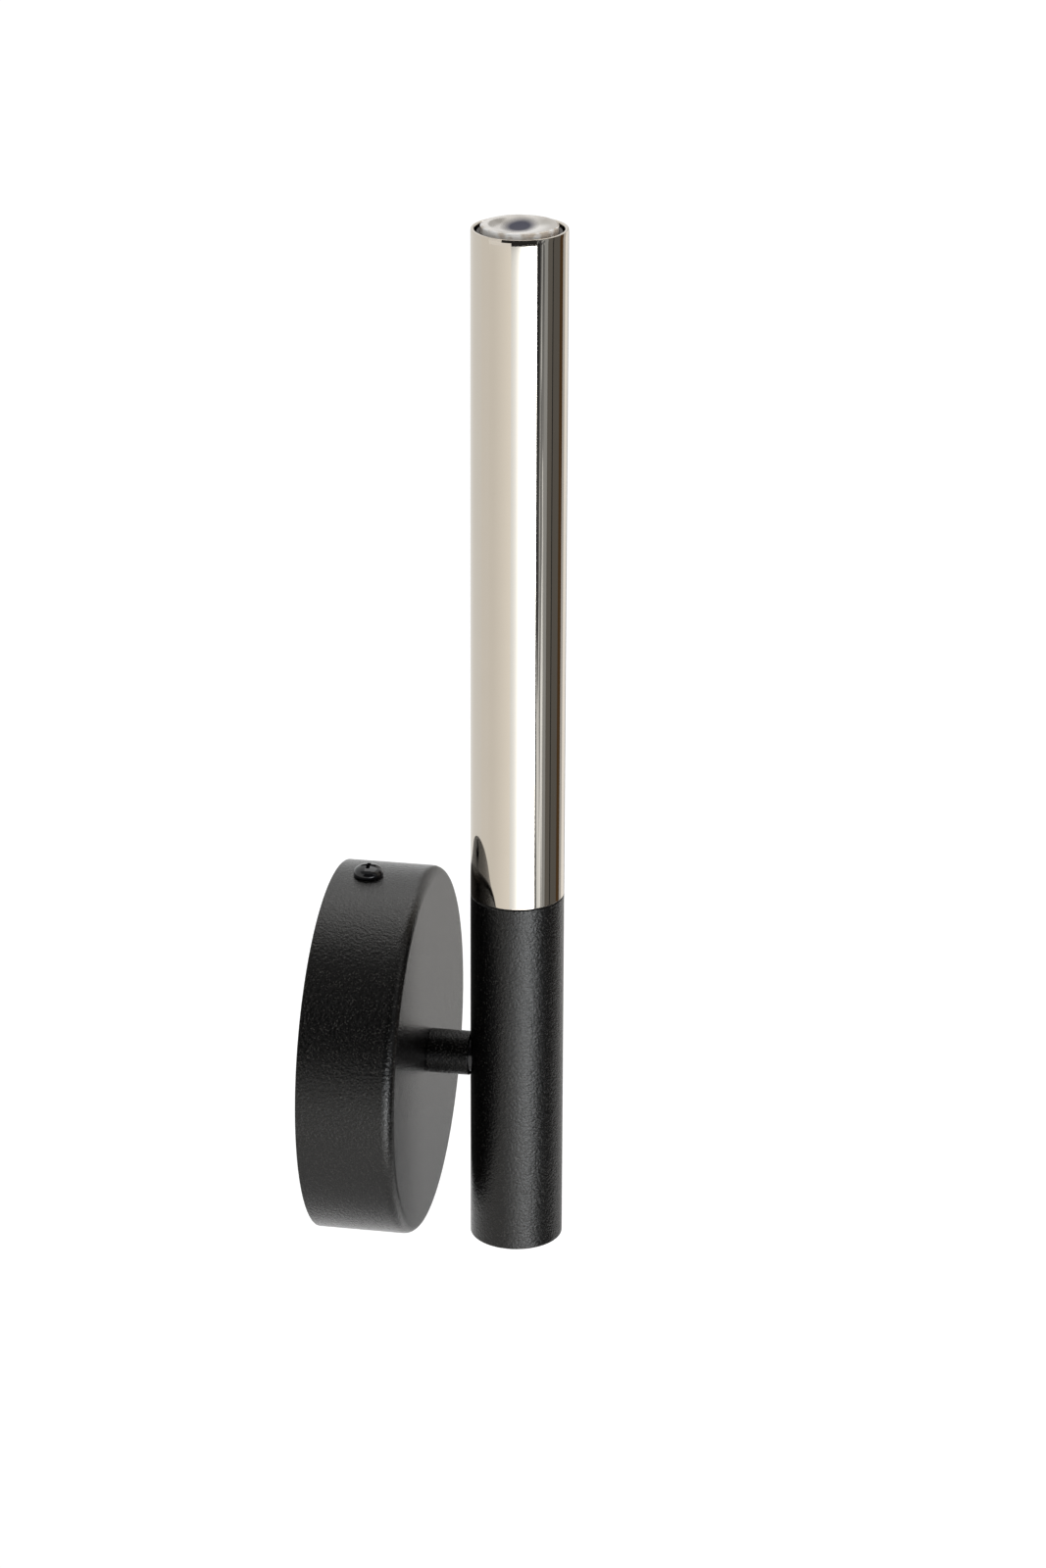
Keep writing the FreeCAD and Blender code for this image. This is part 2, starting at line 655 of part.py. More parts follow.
# ---------------------------------------------------------------- terminal block

POLES = ("pole_pitch", "0", "-pole_pitch")


def slotted_screw(name):
    """A clamp screw that stands on its tip, its cheese head slotted halfway down."""
    shank = cylinder(f"{name}Shank", "clamp_screw_diameter / 2", "clamp_screw_shank")
    head_height = "clamp_screw_head_height"
    head = cylinder(f"{name}Head", "clamp_screw_head / 2", head_height, z="clamp_screw_shank")
    slot_floor = f"clamp_screw_shank + {head_height} / 2"
    slot = box(f"{name}Slot", "clamp_screw_head", "clamp_screw_slot", head_height, z=slot_floor)
    return cut(name, fuse(f"{name}Solid", shank, head), slot)


def terminal_block():
    """Three-pole moulded block on the left wing: a clamp tube and two screws for each pole."""
    body = new_body("TerminalBlock")
    outline = new_sketch(body, "BlockOutline", "XY_Plane")
    draw_rectangle(outline, "block_width", "block_length")
    pad(body, outline, "block_height")
    tunnels = new_sketch(body, "ClampTunnels", "YZ_Plane")
    for pole in POLES:
        draw_circle(tunnels, "clamp_diameter / 2 + fit_gap", pole, "clamp_height")
    pocket(body, tunnels, symmetric=True)
    wells = new_sketch(body, "ScrewWells", "XY_Plane", "clamp_height")
    for pole in POLES:
        for side in ("", "-"):
            draw_circle(wells, "clamp_well_diameter / 2", f"{side}clamp_screw_spacing / 2", pole)
    pocket(body, wells, reverse=True)
    fixing = new_sketch(body, "FixingHole", "XY_Plane")
    draw_circle(fixing, "small_screw_diameter / 2 + screw_hole_gap", "0", "pole_pitch / 2")
    pocket(body, fixing, reverse=True)
    node("terminal_block", body, WALL, ("-block_offset", "0", "bracket_thickness"))

    clamps = []
    screws = []
    for number, pole in enumerate(POLES, start=1):
        along = ("clamp_length", "-clamp_length / 2", pole, "0", "x")
        tube = cylinder(f"Clamp{number}", "clamp_diameter / 2", *along)
        holes = [cylinder(f"ClampBore{number}", "clamp_bore / 2", *along)]
        for side, sign in (("Left", "-"), ("Right", "")):
            across = f"{sign}clamp_screw_spacing / 2"
            tap_radius = "clamp_screw_diameter / 2 + thread_gap"
            tap = cylinder(f"ClampTap{side}{number}", tap_radius, "clamp_diameter", across, pole)
            holes.append(tap)
            screw = slotted_screw(f"ClampScrew{side}{number}")
            screws.append(place(screw, across, pole, "clamp_screw_rest"))
        clamps.append(cut(f"Clamp{number}", tube, *holes))
    axis_depth = ("-block_offset", "0", "bracket_thickness + clamp_height")
    node("terminal_clamps", group("TerminalClamps", clamps), WALL, axis_depth)
    node("terminal_screws", group("TerminalScrews", screws), WALL, axis_depth)

    stack = "(block_height + bracket_thickness)"
    head = ("small_screw_head_diameter", "small_screw_head_height")
    screw = pan_screw("BlockScrew", *head, "small_screw_diameter", stack)
    node("terminal_block_screw", screw, WALL, ("-block_offset", "pole_pitch / 2", stack))


# ---------------------------------------------------------------- driver

# Places of the capacitors on the driver's board, across and up from its middle.
CAPACITOR_PLACES = (
    ("-driver_width / 4", "-driver_length / 4"),
    ("driver_width / 4", "-driver_length / 4"),
    ("0", "driver_length / 3 - fit_gap"),
)


def driver():
    """Small moulded power supply stuck to the right wing; its board hangs upside down in the case."""
    centre = (DRIVER_OFFSET, "0")
    pad_size = ("driver_pad_width", "driver_pad_height", "pad_thickness")
    block_node("driver_pad", *pad_size, (*centre, "bracket_thickness"))
    lid_size = ("driver_width", "driver_length", "driver_lid_thickness")
    block_node("driver_lid", *lid_size, (*centre, DRIVER_FOOT))

    body = new_body("DriverCase")
    outline = new_sketch(body, "CaseOutline", "XY_Plane")
    draw_rectangle(outline, "driver_width", "driver_length")
    case = pad(body, outline, "driver_height")

    def upright_corner(edge):
        return math.isclose(abs(edge.tangentAt(edge.FirstParameter).z), 1, abs_tol=1e-6)

    round_edges(body, case, "driver_wall", upright_corner)
    cavity = new_sketch(body, "CaseCavity", "XY_Plane")
    draw_rectangle(cavity, "driver_width - 2 * driver_wall", "driver_length - 2 * driver_wall")
    pocket(body, cavity, "driver_height - driver_wall", reverse=True)
    mains_exits = new_sketch(body, "MainsExits", "XZ_Plane")
    exit_radius = "mains_lead_diameter / 2 + fit_gap"
    for side in ("", "-"):
        draw_circle(mains_exits, exit_radius, f"{side}lead_pitch / 2", "driver_height / 2")
    pocket(body, mains_exits, reverse=True)
    cable_exit = new_sketch(body, "CableExit", "XZ_Plane")
    draw_circle(cable_exit, "cable_diameter / 2 + fit_gap", "0", "driver_height / 2")
    pocket(body, cable_exit)
    node("driver_case", body, WALL, (*centre, f"{DRIVER_FOOT} + driver_lid_thickness"))

    board_face = f"({DRIVER_FOOT} + driver_lid_thickness + driver_board_height)"
    parts_face = f"{board_face} + driver_board_thickness"
    trim = "2 * (driver_wall + fit_gap)"
    block_node(
        "driver_board", f"driver_width - {trim}", f"driver_length - {trim}", "driver_board_thickness",
        (*centre, board_face),
    )

    block_node(
        "driver_transformer", "transformer_size", "transformer_size", "transformer_height",
        (*centre, parts_face),
    )

    capacitors = []
    for number, (across, up) in enumerate(CAPACITOR_PLACES, start=1):
        can = cylinder(f"Capacitor{number}", "capacitor_diameter / 2", "capacitor_height", across, up)
        capacitors.append(can)
    node("driver_capacitors", group("DriverCapacitors", capacitors), WALL, (*centre, parts_face))


# ---------------------------------------------------------------- swivel

def ring(name, outer_radius, inner_radius, length, z="0"):
    """A plain ring about the z axis."""
    outer = cylinder(f"{name}Outer", outer_radius, length, z=z)
    inner = cylinder(f"{name}Inner", inner_radius, length, z=z)
    return cut(name, outer, inner)


def hexagon(name, flats, length, z="0"):
    """A hexagonal bar about the z axis."""
    bar = doc.addObject("Part::Prism", name)
    bar.Polygon = 6
    bind(bar, Circumradius=f"({flats}) / sqrt(3)", Height=length)
    return place(bar, z=z)


def swivel():
    """The hollow screw that carries the tube turns in the cup's bore, between washer and arm."""
    sleeve_length = "tube_offset - tube_diameter / 2 - cup_depth - arm_gap"
    sleeve = ring("ArmSleeve", "arm_diameter / 2", f"{NIPPLE_RADIUS} + thread_gap", sleeve_length)
    node("arm_sleeve", sleeve, WALL, ("0", "0", "cup_depth + arm_gap"))

    nipple_length = f"{NIPPLE_END} - {NIPPLE_START}"
    nipple = ring("ThreadedNipple", NIPPLE_RADIUS, "nipple_bore / 2", nipple_length)
    node("threaded_nipple", nipple, WALL, ("0", "0", NIPPLE_START))

    thread = f"{NIPPLE_RADIUS} + thread_gap"
    friction = ring("FrictionWasher", "friction_diameter / 2", thread, "friction_thickness")
    node("friction_washer", friction, WALL, ("0", "0", FRICTION_FACE))

    tab_root = "(nipple_diameter + stop_diameter) / 4"
    tab_size = ("stop_tab_width", f"stop_tab_reach - {tab_root}", "stop_thickness")
    tab = box("StopTab", *tab_size, y=f"(stop_tab_reach + {tab_root}) / 2")
    disc = cylinder("StopDisc", "stop_diameter / 2", "stop_thickness")
    bore = cylinder("StopBore", thread, "stop_thickness")
    stop = cut("StopWasher", fuse("StopBlank", disc, tab), bore)
    node("stop_washer", stop, WALL, ("0", "0", STOP_FACE))

    nuts = []
    for number, height in enumerate(("0", "nut_thickness"), start=1):
        blank = hexagon(f"NutBlank{number}", "nut_flats", "nut_thickness", height)
        hole = cylinder(f"NutBore{number}", thread, "nut_thickness", z=height)
        nuts.append(cut(f"Nut{number}", blank, hole))
    node("nipple_nuts", group("NippleNuts", nuts), WALL, ("0", "0", NUT_FACE))

    flange = cylinder("BushFlange", "bush_flange_diameter / 2", "bush_flange_thickness")
    barrel = cylinder("BushBarrel", "nipple_bore / 2 - fit_gap", "bush_flange_thickness + bush_length")
    passage = cylinder("BushBore", "cable_diameter / 2 + bush_gap", "bush_flange_thickness + bush_length")
    bush = cut("CableBush", fuse("BushBlank", flange, barrel), passage)
    node("cable_bush", bush, WALL, ("0", "0", BUSH_START))


# ---------------------------------------------------------------- tube

def back_hole(body, name, radius, height):
    """A round hole in the wall side of a body of the tube frame."""
    hole = new_sketch(body, name, "XZ_Plane")
    draw_circle(hole, radius, y=height)
    pocket(body, hole)


def tube_body(name, length, start):
    """A round tube that starts at the given height."""
    body = new_body(name)
    section = new_sketch(body, f"{name}Section", "XY_Plane", start)
    draw_circle(section, "tube_diameter / 2")
    draw_circle(section, TUBE_INNER_RADIUS)
    pad(body, section, length)
    return body


def tubes():
    """Black lower tube that holds the anchor and polished upper tube that holds the lamp."""
    lower = tube_body("LowerTube", "lower_tube_length", "-lower_tube_drop")
    back_hole(lower, "NippleHole", f"{NIPPLE_RADIUS} + thread_gap", "0")
    for name, height in SET_SCREW_HEIGHTS.items():
        back_hole(lower, f"{name}Hole", "set_screw_diameter / 2 + thread_gap", height)
    node("lower_tube", lower, TUBE)
    upper = tube_body("UpperTube", "upper_tube_length", f"{JOINT_HEIGHT} + joint_gap")
    node("upper_tube", upper, TUBE)


def tube_inserts():
    """Turned aluminium pieces inside the tube: anchor block, joint sleeve and bottom plug."""
    anchor_blank = cylinder("AnchorBlank", INSERT_RADIUS, "anchor_length", z="-anchor_length / 2")
    channel = cylinder("AnchorChannel", "anchor_channel / 2", "anchor_length", z="-anchor_length / 2")
    tap = cylinder("AnchorTap", f"{NIPPLE_RADIUS} + thread_gap", "tube_diameter / 2", along="y")
    node("tube_anchor", cut("TubeAnchor", anchor_blank, channel, tap), TUBE)

    tap_radius = "set_screw_diameter / 2 + thread_gap"
    joint_height, plug_height = SET_SCREW_HEIGHTS.values()
    start = f"{JOINT_HEIGHT} - sleeve_length / 2"
    sleeve = cylinder("SleeveBar", INSERT_RADIUS, "sleeve_length + joint_gap", z=start)
    collar = cylinder("SleeveCollar", "tube_diameter / 2 - collar_inset", "joint_gap", z=JOINT_HEIGHT)
    hollow = cylinder("SleeveBore", f"{INSERT_RADIUS} - sleeve_wall", "sleeve_length + joint_gap", z=start)
    hole = cylinder("SleeveTap", tap_radius, "tube_diameter / 2", z=joint_height, along="y")
    node("joint_sleeve", cut("JointSleeve", fuse("SleeveBlank", sleeve, collar), hollow, hole), TUBE)

    plug = cylinder("PlugBar", INSERT_RADIUS, "plug_length", z="-lower_tube_drop + plug_recess")
    hole = cylinder("PlugTap", tap_radius, "tube_diameter / 2", z=plug_height, along="y")
    node("bottom_plug", cut("BottomPlug", plug, hole), TUBE)

    screws = []
    for name, height in SET_SCREW_HEIGHTS.items():
        start = "tube_diameter / 2 - fit_gap - set_screw_length"
        pin_size = ("set_screw_diameter / 2", "set_screw_length")
        pin = cylinder(f"{name}Pin", *pin_size, y=start, z=height, along="y")
        socket = hexagon(f"{name}Socket", "set_screw_socket", "set_screw_length")
        place(socket, y=f"{start} + set_screw_length / 2", z=height, rotation=ALONG["y"])
        screws.append(cut(name, pin, socket))
    node("set_screws", group("SetScrews", screws), TUBE)


# ---------------------------------------------------------------- lamp

def board_holes(name, length, screw_radius, start):
    """Tools for the two screw holes at the sides and the two lead holes at the front and the back."""
    tools = []
    for number, side in enumerate(("", "-"), start=1):
        across = f"{side}board_hole_radius"
        tools.append(cylinder(f"{name}ScrewHole{number}", screw_radius, length, across, "0", start))
        lead_hole = "lead_diameter / 2 + wire_hole_gap"
        tools.append(cylinder(f"{name}LeadHole{number}", lead_hole, length, "0", across, start))
    return tools


def lamp():
    """Emitter board screwed on an aluminium slug, under a moulded collimator lens in its holder."""
    tap = "board_screw_diameter / 2 + thread_gap"
    slug = cylinder("HeatSinkBar", INSERT_RADIUS, "heat_sink_length", z=SINK_FOOT)
    holes = board_holes("Sink", "heat_sink_length", tap, SINK_FOOT)
    node("heat_sink", cut("HeatSink", slug, *holes), TUBE)

    clear = "board_screw_diameter / 2 + screw_hole_gap"
    film = cylinder("FilmDisc", "board_diameter / 2", "pad_film", z=SINK_TOP)
    node("thermal_pad", cut("ThermalPad", film, *board_holes("Film", "pad_film", clear, SINK_TOP)), TUBE)

    disc = cylinder("BoardDisc", "board_diameter / 2", "board_thickness", z=BOARD_FOOT)
    holes = board_holes("Board", "board_thickness", clear, BOARD_FOOT)
    node("led_board", cut("LedBoard", disc, *holes), TUBE)

    package = box("EmitterPackage", "emitter_side", "emitter_side", "emitter_thickness", z=BOARD_TOP)
    dome = ball("EmitterDome", "emitter_dome_radius", z=f"{BOARD_TOP} + emitter_thickness")
    below = cylinder("DomeTrim", "emitter_dome_radius * 2", "emitter_dome_radius * 2", z=f"{BOARD_TOP}")
    node("led_emitter", fuse("LedEmitter", package, common("EmitterLens", dome, below)), TUBE)

    screws = []
    for number, side in enumerate(("", "-"), start=1):
        screw = pan_screw(
            f"BoardScrew{number}", "board_screw_head", "board_screw_head_height",
            "board_screw_diameter", "board_screw_length",
        )
        screws.append(place(screw, x=f"{side}board_hole_radius", z=BOARD_TOP))
    node("board_screws", group("BoardScrews", screws), TUBE)


def lens_and_holder():
    """Clear cone that gathers the emitter's light, standing in a black cup of even wall."""
    lens_radius = "(lens_diameter / 2)"
    foot_radius = "(lens_foot_diameter / 2)"
    well_radius = "(lens_well_diameter / 2)"
    shoulder = f"({LENS_TOP} - lens_edge_height)"
    body = new_body("LensBody")
    profile = new_sketch(body, "LensProfile", "XZ_Plane")
    draw_polygon(profile, [
        ("0", f"{LENS_FOOT} + lens_well_depth"),
        (well_radius, f"{LENS_FOOT} + lens_well_depth"),
        (well_radius, LENS_FOOT),
        (foot_radius, LENS_FOOT),
        (lens_radius, shoulder),
        (lens_radius, LENS_TOP),
        ("0", LENS_TOP),
    ])
    turned(body, profile)
    dish_radius = f"({lens_radius} - lens_rim_width)"
    curve = f"(({dish_radius} * {dish_radius} + lens_dish_depth * lens_dish_depth) / (2 * lens_dish_depth))"
    dish = ball("LensDish", curve, z=f"{LENS_TOP} - lens_dish_depth + {curve}")
    node("lens", cut("Lens", body, dish), TUBE)

    inner_foot = f"({foot_radius} + fit_gap)"
    inner_top = f"({lens_radius} + fit_gap)"
    body = new_body("LensHolder")
    profile = new_sketch(body, "HolderProfile", "XZ_Plane")
    draw_polygon(profile, [
        (well_radius, BOARD_TOP),
        (f"{inner_foot} + holder_wall", BOARD_TOP),
        (f"{inner_top} + holder_wall", shoulder),
        (f"{inner_top} + holder_wall", f"{shoulder} + holder_lip"),
        (inner_top, f"{shoulder} + holder_lip"),
        (inner_top, shoulder),
        (inner_foot, LENS_FOOT),
        (well_radius, LENS_FOOT),
    ])
    turned(body, profile)
    node("lens_holder", body, TUBE)


# ---------------------------------------------------------------- wiring

def cable_split_depth():
    """Depth of the plane where the turning cable meets the fixed one, on the swivel's axis."""
    washers = size("friction_thickness") + size("stop_thickness") + size("bush_flange_thickness")
    nipple = 2 * size("nut_thickness") + size("nipple_tail")
    return size("cup_depth") - size("cup_wall") - washers - nipple - size("cable_split_gap")


def driver_offset():
    """Distance of the driver's middle from the arm axis."""
    radius = size("cup_diameter") / 2 - size("cup_wall")
    reach = math.sqrt(radius ** 2 - (size("driver_length") / 2) ** 2)
    return reach - size("driver_gap") - size("driver_width") / 2


def wall_leads():
    """Leads inside the canopy, in the wall frame: terminal block, driver, earth lug, cable split."""
    block_face = -size("block_offset") + size("block_width") / 2
    clamp_end = -size("block_offset") + size("clamp_length") / 2
    depth = size("bracket_thickness") + size("clamp_height")
    pitch = size("pole_pitch")
    loop = size("cup_diameter") / 2 - size("cup_wall") - size("lead_loop_gap")
    spacing = size("lead_pitch")
    near = block_face + size("lead_clearance")
    bend = size("lead_bend")
    diameter = size("mains_lead_diameter")
    driver_foot = size("bracket_thickness") + size("pad_thickness") + size("driver_lid_thickness")
    driver_depth = driver_foot + size("driver_height") / 2
    driver_end = size("driver_length") / 2 - size("driver_wall")

    mains = []
    for number, pole in enumerate((-pitch, 0)):
        across = near + number * spacing
        drop = -loop + number * spacing
        exit_across = driver_offset() + (0.5 - number) * spacing
        mains.append(lead_solid(f"mains lead {number + 1}", [
            Vector(clamp_end, pole, depth),
            Vector(across, pole, depth),
            Vector(across, drop, (depth + driver_depth) / 2),
            Vector(exit_across, drop, driver_depth),
            Vector(exit_across, -driver_end, driver_depth),
        ], diameter, bend))
    lead_node("mains_leads", mains, WALL)

    lug_across = -size("earth_offset")
    barrel_depth = size("bracket_thickness") + size("lug_thickness") + diameter / 2
    barrel_start = size("earth_height") + size("lug_diameter") / 2 + size("lug_neck")
    earth = lead_solid("earth lead", [
        Vector(lug_across, barrel_start, barrel_depth),
        Vector(lug_across, loop, barrel_depth),
        Vector(near, loop, depth),
        Vector(near, pitch, depth),
        Vector(clamp_end, pitch, depth),
    ], diameter, bend)
    lead_node("earth_lead", [earth], WALL)

    split = cable_split_depth()
    plane = split - size("cable_bend") / END_SHARE
    offset = driver_offset()
    fixed = lead_solid("fixed cable", [
        Vector(offset, driver_end, driver_depth),
        Vector(offset, loop, driver_depth),
        Vector(offset / 3, loop - spacing, (plane + driver_depth) / 2),
        Vector(0, 0, plane),
        Vector(0, 0, split),
    ], size("cable_diameter"), size("cable_bend"))
    lead_node("led_cable_fixed", [fixed], WALL)


def tube_leads():
    """Cable through the nipple and up the tube, then two thin leads through the heat sink."""
    joint = size("lower_tube_length") - size("lower_tube_drop")
    lens_top = joint + size("joint_gap") + size("upper_tube_length") + size("lens_proud")
    board_top = lens_top - size("lens_height") - size("holder_floor")
    sink_foot = board_top - size("board_thickness") - size("pad_film") - size("heat_sink_length")
    cable_end = sink_foot - size("cable_end_gap")
    cable = lead_solid("turning cable", [
        Vector(0, size("tube_offset") - cable_split_depth(), 0),
        Vector(0, 0, 0),
        Vector(0, 0, cable_end),
    ], size("cable_diameter"), size("cable_bend"))
    lead_node("led_cable_turning", [cable], TUBE)

    thin = []
    for side in (1, -1):
        close = side * size("lead_spread") / 2
        wide = side * size("board_hole_radius")
        thin.append(lead_solid("thin lead", [
            Vector(0, close, cable_end),
            Vector(0, close, cable_end + size("cable_end_gap") / 4),
            Vector(0, wide, sink_foot - size("cable_end_gap") / 4),
            Vector(0, wide, board_top + size("lead_end_height")),
        ], size("lead_diameter"), size("lead_bend")))
    lead_node("led_leads", thin, TUBE)


for make in (
    canopy_cup,
    canopy_screws,
    stop_pin,
    wall_bracket,
    earth_terminal,
    terminal_block,
    driver,
    swivel,
    tubes,
    tube_inserts,
    lamp,
    lens_and_holder,
    wall_leads,
    tube_leads,
):
    make()
doc.recompute()

# ---------------------------------------------------------------- checks and export

for thing in doc.Objects:
    if {"Invalid", "Error"} & set(thing.State):
        raise RuntimeError(f"{thing.Label} failed: {thing.State}")
for thing in nodes:
    if thing.Shape.isNull() or not thing.Shape.isValid() or not thing.Shape.Solids:
        raise RuntimeError(f"{thing.Label} has no sound solid")

os.makedirs(EXPORT_FOLDER, exist_ok=True)
for thing in nodes:
    thing.Shape.exportStep(os.path.join(EXPORT_FOLDER, f"{thing.Label}.step"))
print(f"{len(nodes)} pieces, {sum(len(thing.Shape.Solids) for thing in nodes)} solids")
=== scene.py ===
"""Tube wall light: camera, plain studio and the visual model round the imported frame.

Metres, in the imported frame: x right along the wall, z up, and -y out into the room. The tube stands on
the axis x = 0, y = -0.05; the arm lies on the y axis.
"""

import math

import bpy
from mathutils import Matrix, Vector


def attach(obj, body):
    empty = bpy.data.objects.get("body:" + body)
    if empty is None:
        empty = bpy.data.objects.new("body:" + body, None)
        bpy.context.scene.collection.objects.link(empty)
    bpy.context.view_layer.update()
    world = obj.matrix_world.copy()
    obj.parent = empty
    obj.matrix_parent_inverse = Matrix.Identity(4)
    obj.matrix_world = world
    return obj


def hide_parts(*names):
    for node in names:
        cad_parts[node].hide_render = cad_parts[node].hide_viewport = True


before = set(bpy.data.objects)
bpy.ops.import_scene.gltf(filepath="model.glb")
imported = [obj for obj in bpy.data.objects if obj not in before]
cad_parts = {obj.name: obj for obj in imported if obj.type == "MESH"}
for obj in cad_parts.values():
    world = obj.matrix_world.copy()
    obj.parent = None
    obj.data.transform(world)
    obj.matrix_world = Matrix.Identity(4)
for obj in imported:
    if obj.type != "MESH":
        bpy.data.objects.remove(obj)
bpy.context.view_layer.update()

# ---------------------------------------------------------------- camera
# The photograph's view: from the left of a viewer who faces the wall, a little in front of the wall and
# from above. The lens, the place and the angles come from a fit to the outlines in the photograph.

camera = bpy.data.objects.new("camera", bpy.data.cameras.new("camera"))
camera.data.lens = 107.685
camera.data.sensor_width = 36
camera.location = (-1.13346, -0.25745, 0.53356)
camera.rotation_euler = [math.radians(angle) for angle in (68.4799, -0.2075, -79.6162)]
bpy.context.scene.collection.objects.link(camera)
bpy.context.scene.camera = camera
bpy.context.scene.view_settings.view_transform = "Standard"

# ---------------------------------------------------------------- studio
# A white sweep: pale floor well below the light and a white surround. The camera, metal and glass see
# the surround as plain white, and all else is lit by it at a lower level.

FLOOR_HEIGHT = -0.45
AMBIENT_LEVEL = 0.45
TUBE_AXIS = -0.05


class Value:
    """A shader socket that can stand in a sum, which adds the Math nodes it needs."""

    def __init__(self, nodes, socket):
        self.nodes, self.socket = nodes, socket

    def maths(self, operation, *others):
        return self.nodes.add("Math", {"operation": operation}, dict(enumerate((self, *others))))

    def __add__(self, other):
        return self.maths("ADD", other)

    def __radd__(self, other):
        return self.maths("ADD", other)

    def __sub__(self, other):
        return self.maths("SUBTRACT", other)

    def __rsub__(self, other):
        return self.nodes.add("Math", {"operation": "SUBTRACT"}, {0: other, 1: self})

    def __mul__(self, other):
        return self.maths("MULTIPLY", other)


class Nodes:
    """The nodes of one material or of the surround."""

    def __init__(self, owner):
        owner.use_nodes = True
        self.tree = owner.node_tree
        self.tree.nodes.clear()

    def add(self, kind, settings=None, sockets=None, output=0):
        """Adds a node with its settings, then the values or links of its sockets; returns one output."""
        node = self.tree.nodes.new("ShaderNode" + kind)
        for name, setting in (settings or {}).items():
            setattr(node, name, setting)
        for name, value in (sockets or {}).items():
            if isinstance(value, Value):
                self.tree.links.new(value.socket, node.inputs[name])
            else:
                node.inputs[name].default_value = value
        return Value(self, node.outputs[output]) if node.outputs else node

    def place(self):
        """The point on the object, in metres."""
        return self.add("TexCoord", output="Object")

    def mix(self, share, first, second):
        """A colour between two colours."""
        return self.add("Mix", {"data_type": "RGBA"}, {0: share, 6: first, 7: second}, 2)

    def noise(self, size, detail=2, roughness=0.5):
        """Soft patches of about the given size in metres, from 0 to 1."""
        sockets = {"Vector": self.place(), "Scale": 1 / size, "Detail": detail, "Roughness": roughness}
        return self.add("TexNoise", {}, sockets)

    def between(self, value, low, high):
        """The value's way from low to high, held between 0 and 1."""
        return self.add("MapRange", {}, {"Value": value, "From Min": low, "From Max": high})


def seen_directly(nodes):
    """1 for the rays by which the camera, metal and glass see the studio, 0 for those that light it."""
    rays = ("Is Camera Ray", "Is Glossy Ray", "Is Transmission Ray")
    camera_ray, glossy_ray, clear_ray = (nodes.add("LightPath", output=ray) for ray in rays)
    return camera_ray.maths("MAXIMUM", glossy_ray).maths("MAXIMUM", clear_ray)


def select_only(thing):
    """Leaves one object selected and active."""
    bpy.ops.object.select_all(action="DESELECT")
    thing.select_set(True)
    bpy.context.view_layer.objects.active = thing


surround = bpy.data.worlds.new("surround")
bpy.context.scene.world = surround
nodes = Nodes(surround)
white = nodes.add("Background", {}, {"Color": (1, 1, 1, 1), "Strength": 1.0})
ambient = nodes.add("Background", {}, {"Color": (1, 1, 1, 1), "Strength": AMBIENT_LEVEL})
sky = nodes.add("MixShader", {}, {0: seen_directly(nodes), 1: ambient, 2: white})
nodes.add("OutputWorld", {}, {"Surface": sky})

# The floor glows a little for the same rays, more so far off, so that it fades into the white behind it.
bpy.ops.mesh.primitive_plane_add(size=12, location=(0, 0, FLOOR_HEIGHT))
floor = bpy.context.object
floor.name = "floor"
floor_white = bpy.data.materials.new("floor_white")
nodes = Nodes(floor_white)
painted = nodes.add("BsdfDiffuse", {}, {"Color": (0.8, 0.8, 0.8, 1)})
distance = nodes.add("VectorMath", {"operation": "LENGTH"}, {0: nodes.place()}, "Value")
lift = seen_directly(nodes) * (0.44 + nodes.between(distance, 0.6, 3.0) * 0.26)
glow = nodes.add("Emission", {}, {"Color": (1, 1, 1, 1), "Strength": lift})
nodes.add("OutputMaterial", {}, {"Surface": nodes.add("AddShader", {}, {0: painted, 1: glow})})
floor.data.materials.append(floor_white)

# Large soft lamps: one to the right of the camera, one high up beyond the light, one beyond it lower down.
# Only the high one is mirrored in the pieces.
for name, place, target, width, height, power in (
    ("front_lamp", (-0.85, -0.75, 0.15), (0, 0, 0), 0.9, 1.0, 5.5),
    ("top_lamp", (0.85, -0.1, 1.4), (0.7, -0.1, 0), 1.2, 1.4, 7.5),
    ("back_lamp", (1.2, -0.5, 0.4), (0, 0, 0), 0.9, 1.0, 3.0),
):
    lamp = bpy.data.objects.new(name, bpy.data.lights.new(name, "AREA"))
    lamp.data.shape = "RECTANGLE"
    lamp.data.size, lamp.data.size_y, lamp.data.energy = width, height, power
    lamp.location = place
    lamp.rotation_euler = (Vector(target) - Vector(place)).to_track_quat("-Z", "Y").to_euler()
    lamp.visible_camera = False
    lamp.visible_glossy = name == "top_lamp"
    bpy.context.scene.collection.objects.link(lamp)

# Cards that stand and lie round the light as a photographer sets them, to be mirrored in metal and paint:
# a bright one before the camera, dark ones to its right and pale ones to its left and behind the light. Each
# spans from one bearing to another, in degrees to the right of the camera's own bearing.
CARD_DISTANCE = 0.95
CARD_FOOT, CARD_TOP = -0.449, 0.7
BRIGHT_TOP, FLAG_TOP = -0.021, 4.2
FLAG_LEVEL = 0.03
DEGREES_PER_STEP = 3
CAMERA_BEARING = math.atan2(-0.17884, -0.98388)


def mirrored_only(sheet, colour, level):
    """Makes a sheet glow by a number or a function of its nodes, and shows it in reflections alone."""
    finish = bpy.data.materials.new(sheet.name)
    nodes = Nodes(finish)
    strength = level(nodes) if callable(level) else level
    glow = nodes.add("Emission", {}, {"Color": (*colour, 1), "Strength": strength})
    nodes.add("OutputMaterial", {}, {"Surface": glow})
    sheet.data.materials.append(finish)
    sheet.visible_camera = sheet.visible_diffuse = sheet.visible_shadow = sheet.visible_transmission = False


